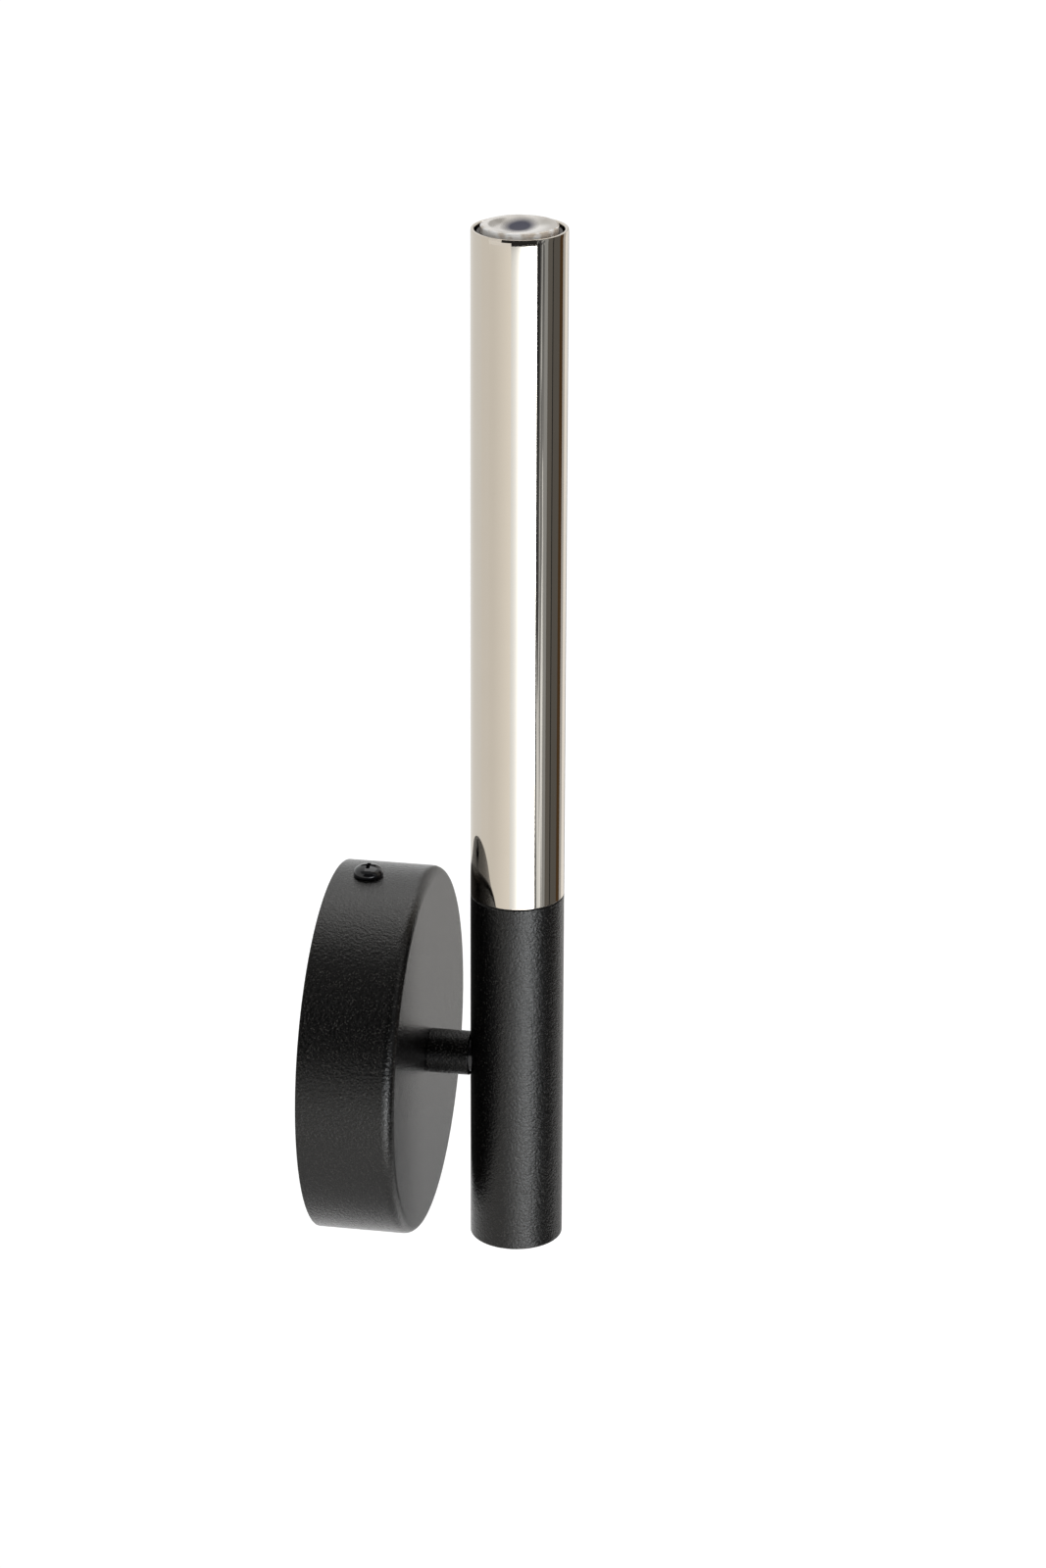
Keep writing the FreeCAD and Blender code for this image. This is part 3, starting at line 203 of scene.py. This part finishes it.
def card(name, start, end, near, rise, colour, level):
    """A card that curves round the light, from its near edge (distance, height) outward or up by its rise."""
    bpy.ops.object.select_all(action="DESELECT")
    bpy.ops.mesh.primitive_plane_add(size=1, location=(0, 0, 0))
    sheet = bpy.context.object
    sheet.name = name
    bpy.ops.object.mode_set(mode="EDIT")
    bpy.ops.mesh.select_all(action="SELECT")
    bpy.ops.mesh.merge(type="CENTER")
    bearing = CAMERA_BEARING + math.radians(start)
    out = (math.cos(bearing), math.sin(bearing))
    bpy.ops.transform.translate(value=(near[0] * out[0], TUBE_AXIS + near[0] * out[1], near[1]))
    reach = (rise[0] * out[0], rise[0] * out[1], rise[1])
    bpy.ops.mesh.extrude_region_move(TRANSFORM_OT_translate={"value": reach})
    bpy.ops.mesh.select_all(action="SELECT")
    steps = max(2, round((end - start) / DEGREES_PER_STEP))
    bpy.ops.mesh.spin(
        steps=steps, angle=-math.radians(end - start), center=(0, TUBE_AXIS, 0), axis=(0, 0, 1)
    )
    bpy.ops.object.mode_set(mode="OBJECT")
    mirrored_only(sheet, colour, level)


def right_of(nodes, start, end):
    """The way across a card from one bearing to another, from 0 to 1."""
    centred = nodes.add("VectorMath", {"operation": "SUBTRACT"}, {0: nodes.place(), 1: (0, TUBE_AXIS, 0)})
    turned_back = nodes.add("Mapping", {}, {"Vector": centred, "Rotation": (0, 0, -CAMERA_BEARING)})
    across = nodes.add("SeparateXYZ", {}, {0: turned_back}, "Y")
    low, high = (CARD_DISTANCE * math.sin(math.radians(bearing)) for bearing in (start, end))
    return nodes.between(across, low, high)


def glow_rises(nodes):
    """The bright card: a little over white at its left edge, then ever brighter to the right."""
    rise = right_of(nodes, -19, 24)
    return 1.16 + rise * 0.9 + rise * rise * rise * 7.0


def fine_lines(nodes):
    """A dark card with thin wavy bright streaks, as folds of film give, dimmer toward its top."""
    streaks = nodes.add("Mapping", {}, {"Vector": nodes.place(), "Scale": (11, 11, 4)})
    wave = nodes.add("TexNoise", {}, {"Vector": streaks, "Detail": 3, "Scale": 1.0, "Distortion": 0.9})
    height = nodes.add("SeparateXYZ", {}, {0: nodes.place()}, "Z")
    full = 0.45 + nodes.between(height, -0.04, -0.14) * 0.55
    return full * (0.05 + right_of(nodes, 46, 58) * 0.35 + nodes.between(wave, 0.50, 0.56) * 0.90)


def glow_begins(nodes):
    """The card left of the bright one: it gains a little light toward it."""
    return 0.93 + right_of(nodes, -62, -18) * 0.24


WHITE, WARM, NEUTRAL, BROWNISH = (1, 1, 1), (1, 0.985, 0.95), (0.95, 1, 1.05), (1, 0.97, 0.92)
CREAM, BROWN = (1, 0.98, 0.95), (0.19, 0.11, 0.05)
for name, start, end, low, high, colour, level in (
    ("soft_card", -75, -19, CARD_FOOT, BRIGHT_TOP, WARM, glow_begins),
    ("bright_card", -19, 41, CARD_FOOT, BRIGHT_TOP, NEUTRAL, glow_rises),
    ("top_flag", -19, 41, BRIGHT_TOP, FLAG_TOP, WHITE, FLAG_LEVEL),
    ("side_flag", -42, -19, 0.10, FLAG_TOP, WHITE, FLAG_LEVEL),
    ("far_left_card", -178, -100, CARD_FOOT, CARD_TOP, (1, 1.01, 1.01), 0.94),
    ("left_card", -100, -75, CARD_FOOT, CARD_TOP, (1, 0.99, 0.965), 0.94),
    ("streaked_card", 41, 61, CARD_FOOT, CARD_TOP, NEUTRAL, fine_lines),
    ("grey_card", 61, 70, CARD_FOOT, CARD_TOP, NEUTRAL, 0.42),
    ("dark_card", 70, 84, CARD_FOOT, CARD_TOP, BROWNISH, 0.16),
    ("black_strip", 84, 87, CARD_FOOT, CARD_TOP, BROWNISH, 0.03),
    ("brownish_card", 87, 109, CARD_FOOT, CARD_TOP, BROWNISH, 0.14),
    ("brown_strip", 109, 123, CARD_FOOT, CARD_TOP, BROWN, 0.5),
    ("back_edge", 123, 135, CARD_FOOT, CARD_TOP, WHITE, 0.55),
    ("back_card", 135, 157, CARD_FOOT, CARD_TOP, CREAM, 1.10),
    ("wall_side_card", 157, 178, CARD_FOOT, CARD_TOP, CREAM, 0.48),
):
    card(name, start, end, (CARD_DISTANCE, low), (0, high - low), colour, level)

# Cards that lie just over the floor dim or lift what the cup and the tubes mirror of it.
for name, start, end, near, width, height, level in (
    ("bright_foot", -14, 41, 0.55, 0.40, -0.448, 3.6),
    ("grey_mat", -180, 180, 0.0, 0.22, -0.447, 0.62),
    ("dark_foot", 41, 108, 0.55, 0.40, -0.448, 0.06),
    ("back_foot", 130, 178, 0.45, 0.50, -0.448, 0.50),
):
    card(name, start, end, (near, height), (width, 0), WHITE, level)

# A grey card overhead dims what the cup's upper side and its screw mirror.
bpy.ops.mesh.primitive_plane_add(size=1, location=(-0.45, -0.1, 1.6))
ceiling = bpy.context.object
ceiling.name = "ceiling_card"
ceiling.scale = (1.3, 3.0, 1)
mirrored_only(ceiling, WHITE, 0.30)

# ---------------------------------------------------------------- canopy cup
# Pressed and drawn steel cup, 100 mm across and 26 mm deep, open to the wall, with a fine textured black
# powder coat. A bore in its middle carries the arm's hollow screw, and two side holes its fixing screws.

ROUNDING_STEPS = 6


def rounded(corners, margin):
    """Points of an outline whose corners with a third number are rounded to that radius.

    One more point stands a margin off each side of such a corner, so that the flats shade flat.
    """
    points = []
    for index, corner in enumerate(corners):
        middle = Vector(corner[:2])
        if len(corner) < 3:
            points.append(middle)
            continue
        back = (Vector(corners[index - 1][:2]) - middle).normalized()
        ahead = (Vector(corners[(index + 1) % len(corners)][:2]) - middle).normalized()
        half = back.angle(ahead) / 2
        tangent = corner[2] / math.tan(half)
        centre = middle + (back + ahead).normalized() * corner[2] / math.sin(half)
        start, end = middle + back * tangent - centre, middle + ahead * tangent - centre
        turn = start.angle(end)
        if margin:
            points.append(middle + back * (tangent + margin))
        for step in range(ROUNDING_STEPS + 1):
            share = step / ROUNDING_STEPS
            arm = (start * math.sin((1 - share) * turn) + end * math.sin(share * turn)) / math.sin(turn)
            points.append(centre + arm)
        if margin:
            points.append(middle + ahead * (tangent + margin))
    return points


def turned(name, corners, steps=96, margin=0.00015):
    """Turns an outline of (distance from the axis, height) about the z axis into a closed solid."""
    outline = rounded(corners, margin)
    bpy.ops.object.select_all(action="DESELECT")
    bpy.ops.mesh.primitive_plane_add(size=1, location=(0, 0, 0))
    piece = bpy.context.object
    piece.name = name
    bpy.ops.object.mode_set(mode="EDIT")
    bpy.ops.mesh.select_all(action="SELECT")
    bpy.ops.mesh.merge(type="CENTER")
    bpy.ops.transform.translate(value=(outline[0].x, 0, outline[0].y))
    for here, there in zip(outline, outline[1:] + outline[:1]):
        side = (there.x - here.x, 0, there.y - here.y)
        bpy.ops.mesh.extrude_region_move(TRANSFORM_OT_translate={"value": side})
    bpy.ops.mesh.select_all(action="SELECT")
    bpy.ops.mesh.remove_doubles(threshold=1e-6)
    bpy.ops.mesh.spin(steps=steps, angle=math.tau, center=(0, 0, 0), axis=(0, 0, 1))
    bpy.ops.mesh.select_all(action="SELECT")
    bpy.ops.mesh.remove_doubles(threshold=1e-6)
    bpy.ops.mesh.normals_make_consistent(inside=False)
    bpy.ops.object.mode_set(mode="OBJECT")
    return piece


def seated(piece, place, turn=(0, 0, 0)):
    """Turns a piece made at the origin, in degrees, and moves it to its place, all in its mesh."""
    select_only(piece)
    piece.rotation_euler = [math.radians(angle) for angle in turn]
    piece.location = place
    bpy.ops.object.transform_apply(location=True, rotation=True, scale=True)


def softened(piece, angle=30):
    """Smooth shading across the gentle edges only."""
    select_only(piece)
    bpy.ops.object.shade_smooth_by_angle(angle=math.radians(angle))
    return piece


def cut_by(piece, tool):
    """Cuts a tool out of a piece and throws the tool away."""
    select_only(piece)
    cutter = piece.modifiers.new("cut", "BOOLEAN")
    cutter.operation, cutter.solver, cutter.object = "DIFFERENCE", "EXACT", tool
    bpy.ops.object.modifier_apply(modifier=cutter.name)
    bpy.data.objects.remove(tool)


def powder_coat(name, gloss=0.36):
    """Black powder coat: a fine pebbled skin with paler flecks scattered at random."""
    finish = bpy.data.materials.new(name)
    nodes = Nodes(finish)
    grain = nodes.noise(0.0007, 2, 0.7)
    fleck = nodes.between(nodes.noise(0.00055, 1), 0.58, 0.70)
    cloud = nodes.noise(0.02, 2)
    colour = nodes.mix(cloud, (0.0010, 0.0010, 0.0011, 1), (0.0022, 0.0021, 0.0020, 1))
    colour = nodes.mix(fleck, colour, (0.024, 0.023, 0.021, 1))
    bump = nodes.add("Bump", {}, {"Strength": 1.0, "Distance": 0.00020, "Height": grain})
    sockets = {
        "Base Color": colour,
        "Roughness": 0.17 + grain * 0.08,
        "Specular IOR Level": gloss,
        "Specular Tint": (1.0, 0.98, 0.95, 1),
        "Normal": bump,
    }
    nodes.add("OutputMaterial", {}, {"Surface": nodes.add("BsdfPrincipled", {}, sockets)})
    return finish


def finished(piece, material):
    """Gives a piece one material all over."""
    piece.data.materials.clear()
    piece.data.materials.append(material)


CUP_RADIUS, CUP_INNER_RADIUS = 0.0500, 0.0488
CUP_DEPTH, CUP_INNER_DEPTH = 0.0260, 0.0248
NIPPLE_HOLE_RADIUS = 0.00508
SCREW_HOLE_RADIUS = 0.00225
SCREW_DEPTH = -0.0095
canopy = turned("canopy", [
    (CUP_INNER_RADIUS, 0), (CUP_INNER_RADIUS, CUP_INNER_DEPTH, 0.0014), (NIPPLE_HOLE_RADIUS, CUP_INNER_DEPTH),
    (NIPPLE_HOLE_RADIUS, CUP_DEPTH, 0.0002), (CUP_RADIUS, CUP_DEPTH, 0.0028), (CUP_RADIUS, 0, 0.0003),
], steps=160)
seated(canopy, (0, 0, 0), (90, 0, 0))
bpy.ops.mesh.primitive_cylinder_add(
    vertices=32, radius=SCREW_HOLE_RADIUS, depth=0.11, location=(0, SCREW_DEPTH, 0)
)
cut_by(canopy, bpy.context.object)
finished(softened(canopy), powder_coat("canopy_coat"))
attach(canopy, "wall_unit")
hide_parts("canopy_cup")

# ---------------------------------------------------------------- canopy screws
# Two M4 pan head machine screws, glossy black plated, through the cup's side into the bracket's ears.
# Each has a pressed cross recess and a cut thread.

# The blades are shares of the head's radius, the punch's foot of its top, the thread's root of its crest,
# and the punch's depth and top and the head's straight side of the head's height.
BLADE_WIDTH_SHARE, BLADE_REACH_SHARE, PUNCH_FOOT_SHARE = 0.27, 0.42, 0.35
PUNCH_DEPTH_SHARE, PUNCH_TOP_SHARE = 0.85, 1.02
THREAD_ROOT_SHARE = 0.84
HEAD_SIDE_SHARE = 0.28
HEAD_STEPS = 8
RECESS_TURN = 4


def cross_recess(radius, depth, top):
    """The punch that presses a cross recess: two crossed blades that narrow toward its foot."""
    width = radius * BLADE_WIDTH_SHARE
    bpy.ops.mesh.primitive_cube_add(size=1, location=(0, 0, top - depth / 2), scale=(width, width, depth))
    punch = bpy.context.object
    bpy.ops.object.transform_apply(location=False, rotation=False, scale=True)
    bpy.ops.object.mode_set(mode="EDIT")
    for direction in ((1, 0), (0, 1), (-1, 0), (0, -1)):
        bpy.ops.mesh.select_all(action="DESELECT")
        bpy.ops.object.mode_set(mode="OBJECT")
        for face in punch.data.polygons:
            ahead = face.normal.x * direction[0] + face.normal.y * direction[1] > 0.9
            aside = face.center.x * direction[1] + face.center.y * direction[0]
            face.select = ahead and abs(aside) < width / 4
        bpy.ops.object.mode_set(mode="EDIT")
        reach = [side * radius * BLADE_REACH_SHARE for side in direction]
        bpy.ops.mesh.extrude_region_move(TRANSFORM_OT_translate={"value": (*reach, 0)})
    bpy.ops.mesh.select_all(action="DESELECT")
    bpy.ops.object.mode_set(mode="OBJECT")
    for vertex in punch.data.vertices:
        vertex.select = vertex.co.z < 0
    bpy.ops.object.mode_set(mode="EDIT")
    bpy.ops.transform.resize(
        value=(PUNCH_FOOT_SHARE, PUNCH_FOOT_SHARE, 1), center_override=(0, 0, top - depth)
    )
    bpy.ops.object.mode_set(mode="OBJECT")
    return punch


def pan_screw(name, head_radius, head_height, shank_radius, shank_length, pitch):
    """A pan head screw with its head's seat on z = 0 and its threaded shank below."""
    root_radius = shank_radius * THREAD_ROOT_SHARE
    thread = []
    height = -shank_length
    while height < -pitch:
        thread += [(root_radius, height), (shank_radius, height + pitch / 2)]
        height += pitch
    outline = [(0, -shank_length), *thread, (root_radius, 0)]
    outline += [(head_radius * 0.97, 0), (head_radius, head_height * 0.05)]
    for step in range(HEAD_STEPS + 1):
        turn = math.radians(90) * step / HEAD_STEPS
        rise = HEAD_SIDE_SHARE + (1 - HEAD_SIDE_SHARE) * math.sin(turn)
        outline.append((head_radius * math.cos(turn), head_height * rise))
    screw = turned(name, outline, steps=40, margin=0)
    cut_by(screw, cross_recess(head_radius, head_height * PUNCH_DEPTH_SHARE, head_height * PUNCH_TOP_SHARE))
    return softened(screw, 40)


def plated(name, colour, roughness, metallic=0.0):
    """Thin even plating with faint handling marks."""
    finish = bpy.data.materials.new(name)
    nodes = Nodes(finish)
    smear = nodes.noise(0.003, 4, 0.6)
    pale = [min(1, part * 1.25) for part in colour]
    bump = nodes.add("Bump", {}, {"Strength": 0.15, "Distance": 0.00004, "Height": nodes.noise(0.0006, 3)})
    sockets = {
        "Base Color": nodes.mix(smear, (*colour, 1), (*pale, 1)),
        "Roughness": roughness + smear * 0.14,
        "Metallic": metallic,
        "Normal": bump,
    }
    nodes.add("OutputMaterial", {}, {"Surface": nodes.add("BsdfPrincipled", {}, sockets)})
    return finish


black_plating = plated("black_plating", (0.004, 0.004, 0.005), 0.06)
for name, side in (("canopy_screw_top", 1), ("canopy_screw_bottom", -1)):
    screw = pan_screw(
        name, head_radius=0.0040, head_height=0.00295, shank_radius=0.0020, shank_length=0.008, pitch=0.0007
    )
    seated(screw, (0, 0, 0), (0, 0, RECESS_TURN))
    seated(screw, (0, SCREW_DEPTH, side * CUP_RADIUS), (0 if side > 0 else 180, 0, 0))
    finished(screw, black_plating)
    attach(screw, "wall_unit")
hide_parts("canopy_screws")
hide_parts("canopy_screws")

# ---------------------------------------------------------------- arm
# Short round sleeve between the cup and the tube, powder coated as they are. The hollow screw runs
# through it, and its friction against the cup holds the tube where it is turned.

ARM_RADIUS, ARM_BORE_RADIUS = 0.0060, 0.00505
ARM_START, ARM_END = 0.0261, 0.0375
arm = turned("arm", [
    (ARM_BORE_RADIUS, ARM_START), (ARM_RADIUS, ARM_START, 0.0003), (ARM_RADIUS, ARM_END, 0.0003),
    (ARM_BORE_RADIUS, ARM_END),
], steps=64)
seated(arm, (0, 0, 0), (90, 0, 0))
finished(softened(arm), powder_coat("arm_coat", 0.16))
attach(arm, "swivel_lamp")
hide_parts("arm_sleeve")

# ---------------------------------------------------------------- lower tube and its plug
# Steel tube 25 mm across with a 1 mm wall, powder coated black, drilled at the back for the hollow screw
# and two headless screws. A turned plug closes its lower end.

TUBE_RADIUS, TUBE_BORE_RADIUS = 0.0125, 0.0115
TUBE_FOOT, JOINT_HEIGHT = -0.0520, 0.0480
SET_SCREW_HOLE_RADIUS = 0.00155
PLUG_SCREW_HEIGHT = -0.0487
lower_tube = turned("black_tube", [
    (TUBE_BORE_RADIUS, TUBE_FOOT, 0.0002), (TUBE_RADIUS, TUBE_FOOT, 0.0004),
    (TUBE_RADIUS, JOINT_HEIGHT, 0.0002), (TUBE_BORE_RADIUS, JOINT_HEIGHT),
], steps=128)
seated(lower_tube, (0, TUBE_AXIS, 0))
for height, radius in (
    (0, ARM_BORE_RADIUS), (0.040, SET_SCREW_HOLE_RADIUS), (PLUG_SCREW_HEIGHT, SET_SCREW_HOLE_RADIUS)
):
    bpy.ops.mesh.primitive_cylinder_add(
        vertices=32, radius=radius, depth=0.006, location=(0, -0.038, height), rotation=(math.pi / 2, 0, 0)
    )
    cut_by(lower_tube, bpy.context.object)
tube_coat = powder_coat("tube_coat")
finished(softened(lower_tube), tube_coat)
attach(lower_tube, "swivel_lamp")
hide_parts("lower_tube")

PLUG_RADIUS = 0.0114
PLUG_FOOT, PLUG_TOP = -0.0517, -0.0457
plug = turned("end_plug", [
    (0, PLUG_FOOT), (PLUG_RADIUS, PLUG_FOOT, 0.0005), (PLUG_RADIUS, PLUG_TOP), (0, PLUG_TOP),
], steps=96)
seated(plug, (0, TUBE_AXIS, 0))
bpy.ops.mesh.primitive_cylinder_add(
    vertices=32, radius=SET_SCREW_HOLE_RADIUS, depth=0.012, location=(0, -0.040, PLUG_SCREW_HEIGHT),
    rotation=(math.pi / 2, 0, 0)
)
cut_by(plug, bpy.context.object)
finished(softened(plug), tube_coat)
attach(plug, "swivel_lamp")
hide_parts("bottom_plug")

# ---------------------------------------------------------------- upper tube
# Steel tube of the same size, polished and nickel plated to a mirror. It slides over the joint sleeve and
# stands on the sleeve's dark collar.

# The close rings under the rim roll the edge over, so that it mirrors as a fine dark line.
COLLAR_TOP, RIM = 0.0483, 0.2300
upper_tube = turned("polished_tube", [
    (TUBE_BORE_RADIUS, COLLAR_TOP), (TUBE_RADIUS, COLLAR_TOP, 0.0001), (TUBE_RADIUS, 0.2284),
    (TUBE_RADIUS, 0.2289), (0.012492, 0.2292), (0.012470, 0.2295), (0.012425, 0.22975),
    (0.01235, RIM, 0.0001), (TUBE_BORE_RADIUS, RIM, 0.0003),
], steps=192)
seated(upper_tube, (0, TUBE_AXIS, 0))
nickel = bpy.data.materials.new("polished_nickel")
nodes = Nodes(nickel)
long_way = nodes.add("Mapping", {}, {"Vector": nodes.place(), "Scale": (60, 60, 9)})
drawn = nodes.add("TexNoise", {}, {"Vector": long_way, "Scale": 1.0, "Detail": 3, "Roughness": 0.5})
haze = nodes.noise(0.012, 3)
sockets = {
    "Base Color": nodes.mix(haze, (0.575, 0.522, 0.450, 1), (0.595, 0.540, 0.468, 1)),
    "Metallic": 1.0,
    "Roughness": 0.035 + haze * 0.02,
    "Normal": nodes.add("Bump", {}, {"Strength": 0.05, "Distance": 0.0002, "Height": drawn}),
}
nodes.add("OutputMaterial", {}, {"Surface": nodes.add("BsdfPrincipled", {}, sockets)})
finished(softened(upper_tube), nickel)
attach(upper_tube, "swivel_lamp")
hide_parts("upper_tube")

# ---------------------------------------------------------------- lens
# Moulded clear acrylic collimator, 20 mm across: a solid cone over the emitter with a hollow at its foot
# and a shallow dish in its top inside a flat ring. It stands 1 mm proud of the tube's rim.

LENS_RADIUS, LENS_FOOT, LENS_SHOULDER, LENS_TOP = 0.0100, 0.2190, 0.2282, 0.2310
FOOT_RADIUS, HOLLOW_RADIUS, HOLLOW_DEPTH = 0.0045, 0.0030, 0.0045
DISH_RADIUS, DISH_DEPTH, DISH_STEPS = 0.0086, 0.0006, 8
curve = (DISH_RADIUS ** 2 + DISH_DEPTH ** 2) / (2 * DISH_DEPTH)
dish = []
for step in range(DISH_STEPS + 1):
    across = DISH_RADIUS * step / DISH_STEPS
    dish.append((across, LENS_TOP - DISH_DEPTH + curve - math.sqrt(curve ** 2 - across ** 2)))
lens = turned("lens", [
    (0, LENS_FOOT + HOLLOW_DEPTH), (HOLLOW_RADIUS, LENS_FOOT + HOLLOW_DEPTH, 0.0004),
    (HOLLOW_RADIUS, LENS_FOOT, 0.0001), (FOOT_RADIUS, LENS_FOOT, 0.0002),
    (LENS_RADIUS, LENS_SHOULDER, 0.0002), (LENS_RADIUS, LENS_TOP, 0.0004), *reversed(dish),
], steps=128)
seated(lens, (0, TUBE_AXIS, 0))


def from_tube_axis(nodes, squeeze):
    """The distance from the tube's axis, with the way across squeezed by a share."""
    sockets = {"Vector": nodes.place(), "Location": (0, -TUBE_AXIS, 0), "Scale": (squeeze, 1, 0)}
    return nodes.add("VectorMath", {"operation": "LENGTH"}, {0: nodes.add("Mapping", {}, sockets)}, "Value")


# The finish paints the light the cone would show from outside, as it has no glass: a painted reflection in
# pale and dark patches round a dark blue spot, which paints the unlit emitter as seen through the lens and is
# drawn out along x, and painted glints in beige and white on the pale flank.
clear = bpy.data.materials.new("acrylic_painted_reflection")
nodes = Nodes(clear)
# Painted reflection: a metallic pale grey-brown stands for what the dish reflects, round a dark blue spot
# that paints the emitter seen through the lens.
painted_reflection_mask = nodes.between(from_tube_axis(nodes, 0.6), 0.0024, 0.0050)
shade = nodes.between(nodes.noise(0.009, 1), 0.38, 0.62)
painted_reflection_colour = nodes.mix(shade, (0.42, 0.385, 0.34, 1), (0.70, 0.665, 0.62, 1))
# Painted highlight: the flank's beige and white glint patches stand for light that the side wall refracts
# from above.
flank = nodes.between(from_tube_axis(nodes, 1), 0.0092, 0.0098)
glint = nodes.between(nodes.noise(0.0035, 2), 0.42, 0.58)
painted_flank_glints = nodes.mix(glint, (0.62, 0.54, 0.46, 1), (0.95, 0.94, 0.92, 1))
surface = nodes.mix(painted_reflection_mask, (0.010, 0.010, 0.040, 1), painted_reflection_colour)
sockets = {
    "Base Color": nodes.mix(flank, surface, painted_flank_glints),
    "Metallic": painted_reflection_mask * 0.95 - flank * 0.90,
    "Roughness": 0.50 - painted_reflection_mask * 0.40,
    "Specular IOR Level": 0.2,
}
nodes.add("OutputMaterial", {}, {"Surface": nodes.add("BsdfPrincipled", {}, sockets)})
finished(softened(lens), clear)
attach(lens, "swivel_lamp")
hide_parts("lens")

# ---------------------------------------------------------------- carried-over pieces
# Bracket, wiring, driver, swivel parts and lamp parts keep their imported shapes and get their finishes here,
# each with a slight skin texture and a shift of shade of its own.


def moulded(name, colour, roughness, grain_size=0.0005, grain=0.1, stripe=None):
    """Moulded plastic or rubber: faint skin texture and a slight shift of shade, striped where asked."""
    finish = bpy.data.materials.new(name)
    nodes = Nodes(finish)
    skin = nodes.noise(grain_size, 3)
    cloud = nodes.noise(0.01, 2)
    dark = [part * 0.88 for part in colour]
    pale = [min(1, part * 1.06) for part in colour]
    body = nodes.mix(cloud, (*dark, 1), (*pale, 1))
    if stripe:
        side = nodes.add("SeparateXYZ", {}, {0: nodes.add("TexCoord", output="Normal")}, "Y")
        body = nodes.mix(nodes.between(side, -0.05, 0.05), body, (*stripe, 1))
    sockets = {
        "Base Color": body,
        "Roughness": roughness + skin * 0.1,
        "Normal": nodes.add("Bump", {}, {"Strength": grain, "Distance": 0.0001, "Height": skin}),
    }
    nodes.add("OutputMaterial", {}, {"Surface": nodes.add("BsdfPrincipled", {}, sockets)})
    return finish


for finish, names in (
    (
        plated("zinc_plating", (0.60, 0.61, 0.63), 0.28, 1.0),
        ("wall_bracket", "stop_pin", "earth_washer", "nipple_nuts", "stop_washer"),
    ),
    (plated("brass", (0.70, 0.52, 0.24), 0.25, 1.0), ("earth_screw", "earth_lug", "terminal_clamps")),
    (
        plated("steel", (0.55, 0.55, 0.56), 0.22, 1.0),
        ("terminal_screws", "terminal_block_screw", "board_screws"),
    ),
    (plated("turned_aluminium", (0.75, 0.76, 0.77), 0.3, 1.0), ("tube_anchor", "heat_sink")),
    (plated("black_anodised", (0.02, 0.02, 0.02), 0.35), ("joint_sleeve",)),
    (black_plating, ("set_screws", "threaded_nipple")),
    (moulded("white_nylon", (0.80, 0.80, 0.77), 0.4), ("terminal_block", "friction_washer", "cable_bush")),
    (moulded("driver_plastic", (0.78, 0.78, 0.76), 0.45), ("driver_case", "driver_lid")),
    (moulded("holder_plastic", (0.045, 0.036, 0.030), 0.5), ("lens_holder",)),
    (moulded("green_board", (0.04, 0.24, 0.08), 0.35), ("driver_board",)),
    (moulded("yellow_tape", (0.72, 0.55, 0.10), 0.4), ("driver_transformer",)),
    (moulded("can_sleeve", (0.02, 0.03, 0.08), 0.3), ("driver_capacitors",)),
    (moulded("white_board", (0.80, 0.80, 0.80), 0.35), ("led_board",)),
    (moulded("emitter_chip", (0.03, 0.03, 0.07), 0.15), ("led_emitter",)),
    (moulded("grey_film", (0.42, 0.43, 0.44), 0.6), ("thermal_pad",)),
    (moulded("foam_tape", (0.55, 0.55, 0.53), 0.9, 0.0008, 0.5), ("driver_pad",)),
    (moulded("cable_sheath", (0.025, 0.025, 0.025), 0.5), ("led_cable_fixed", "led_cable_turning")),
    (moulded("mains_lead", (0.14, 0.06, 0.03), 0.4), ("mains_leads",)),
    (moulded("earth_lead", (0.06, 0.30, 0.05), 0.4, stripe=(0.80, 0.66, 0.06)), ("earth_lead",)),
    (moulded("thin_lead", (0.45, 0.03, 0.02), 0.35), ("led_leads",)),
):
    for name in names:
        finished(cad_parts[name], finish)
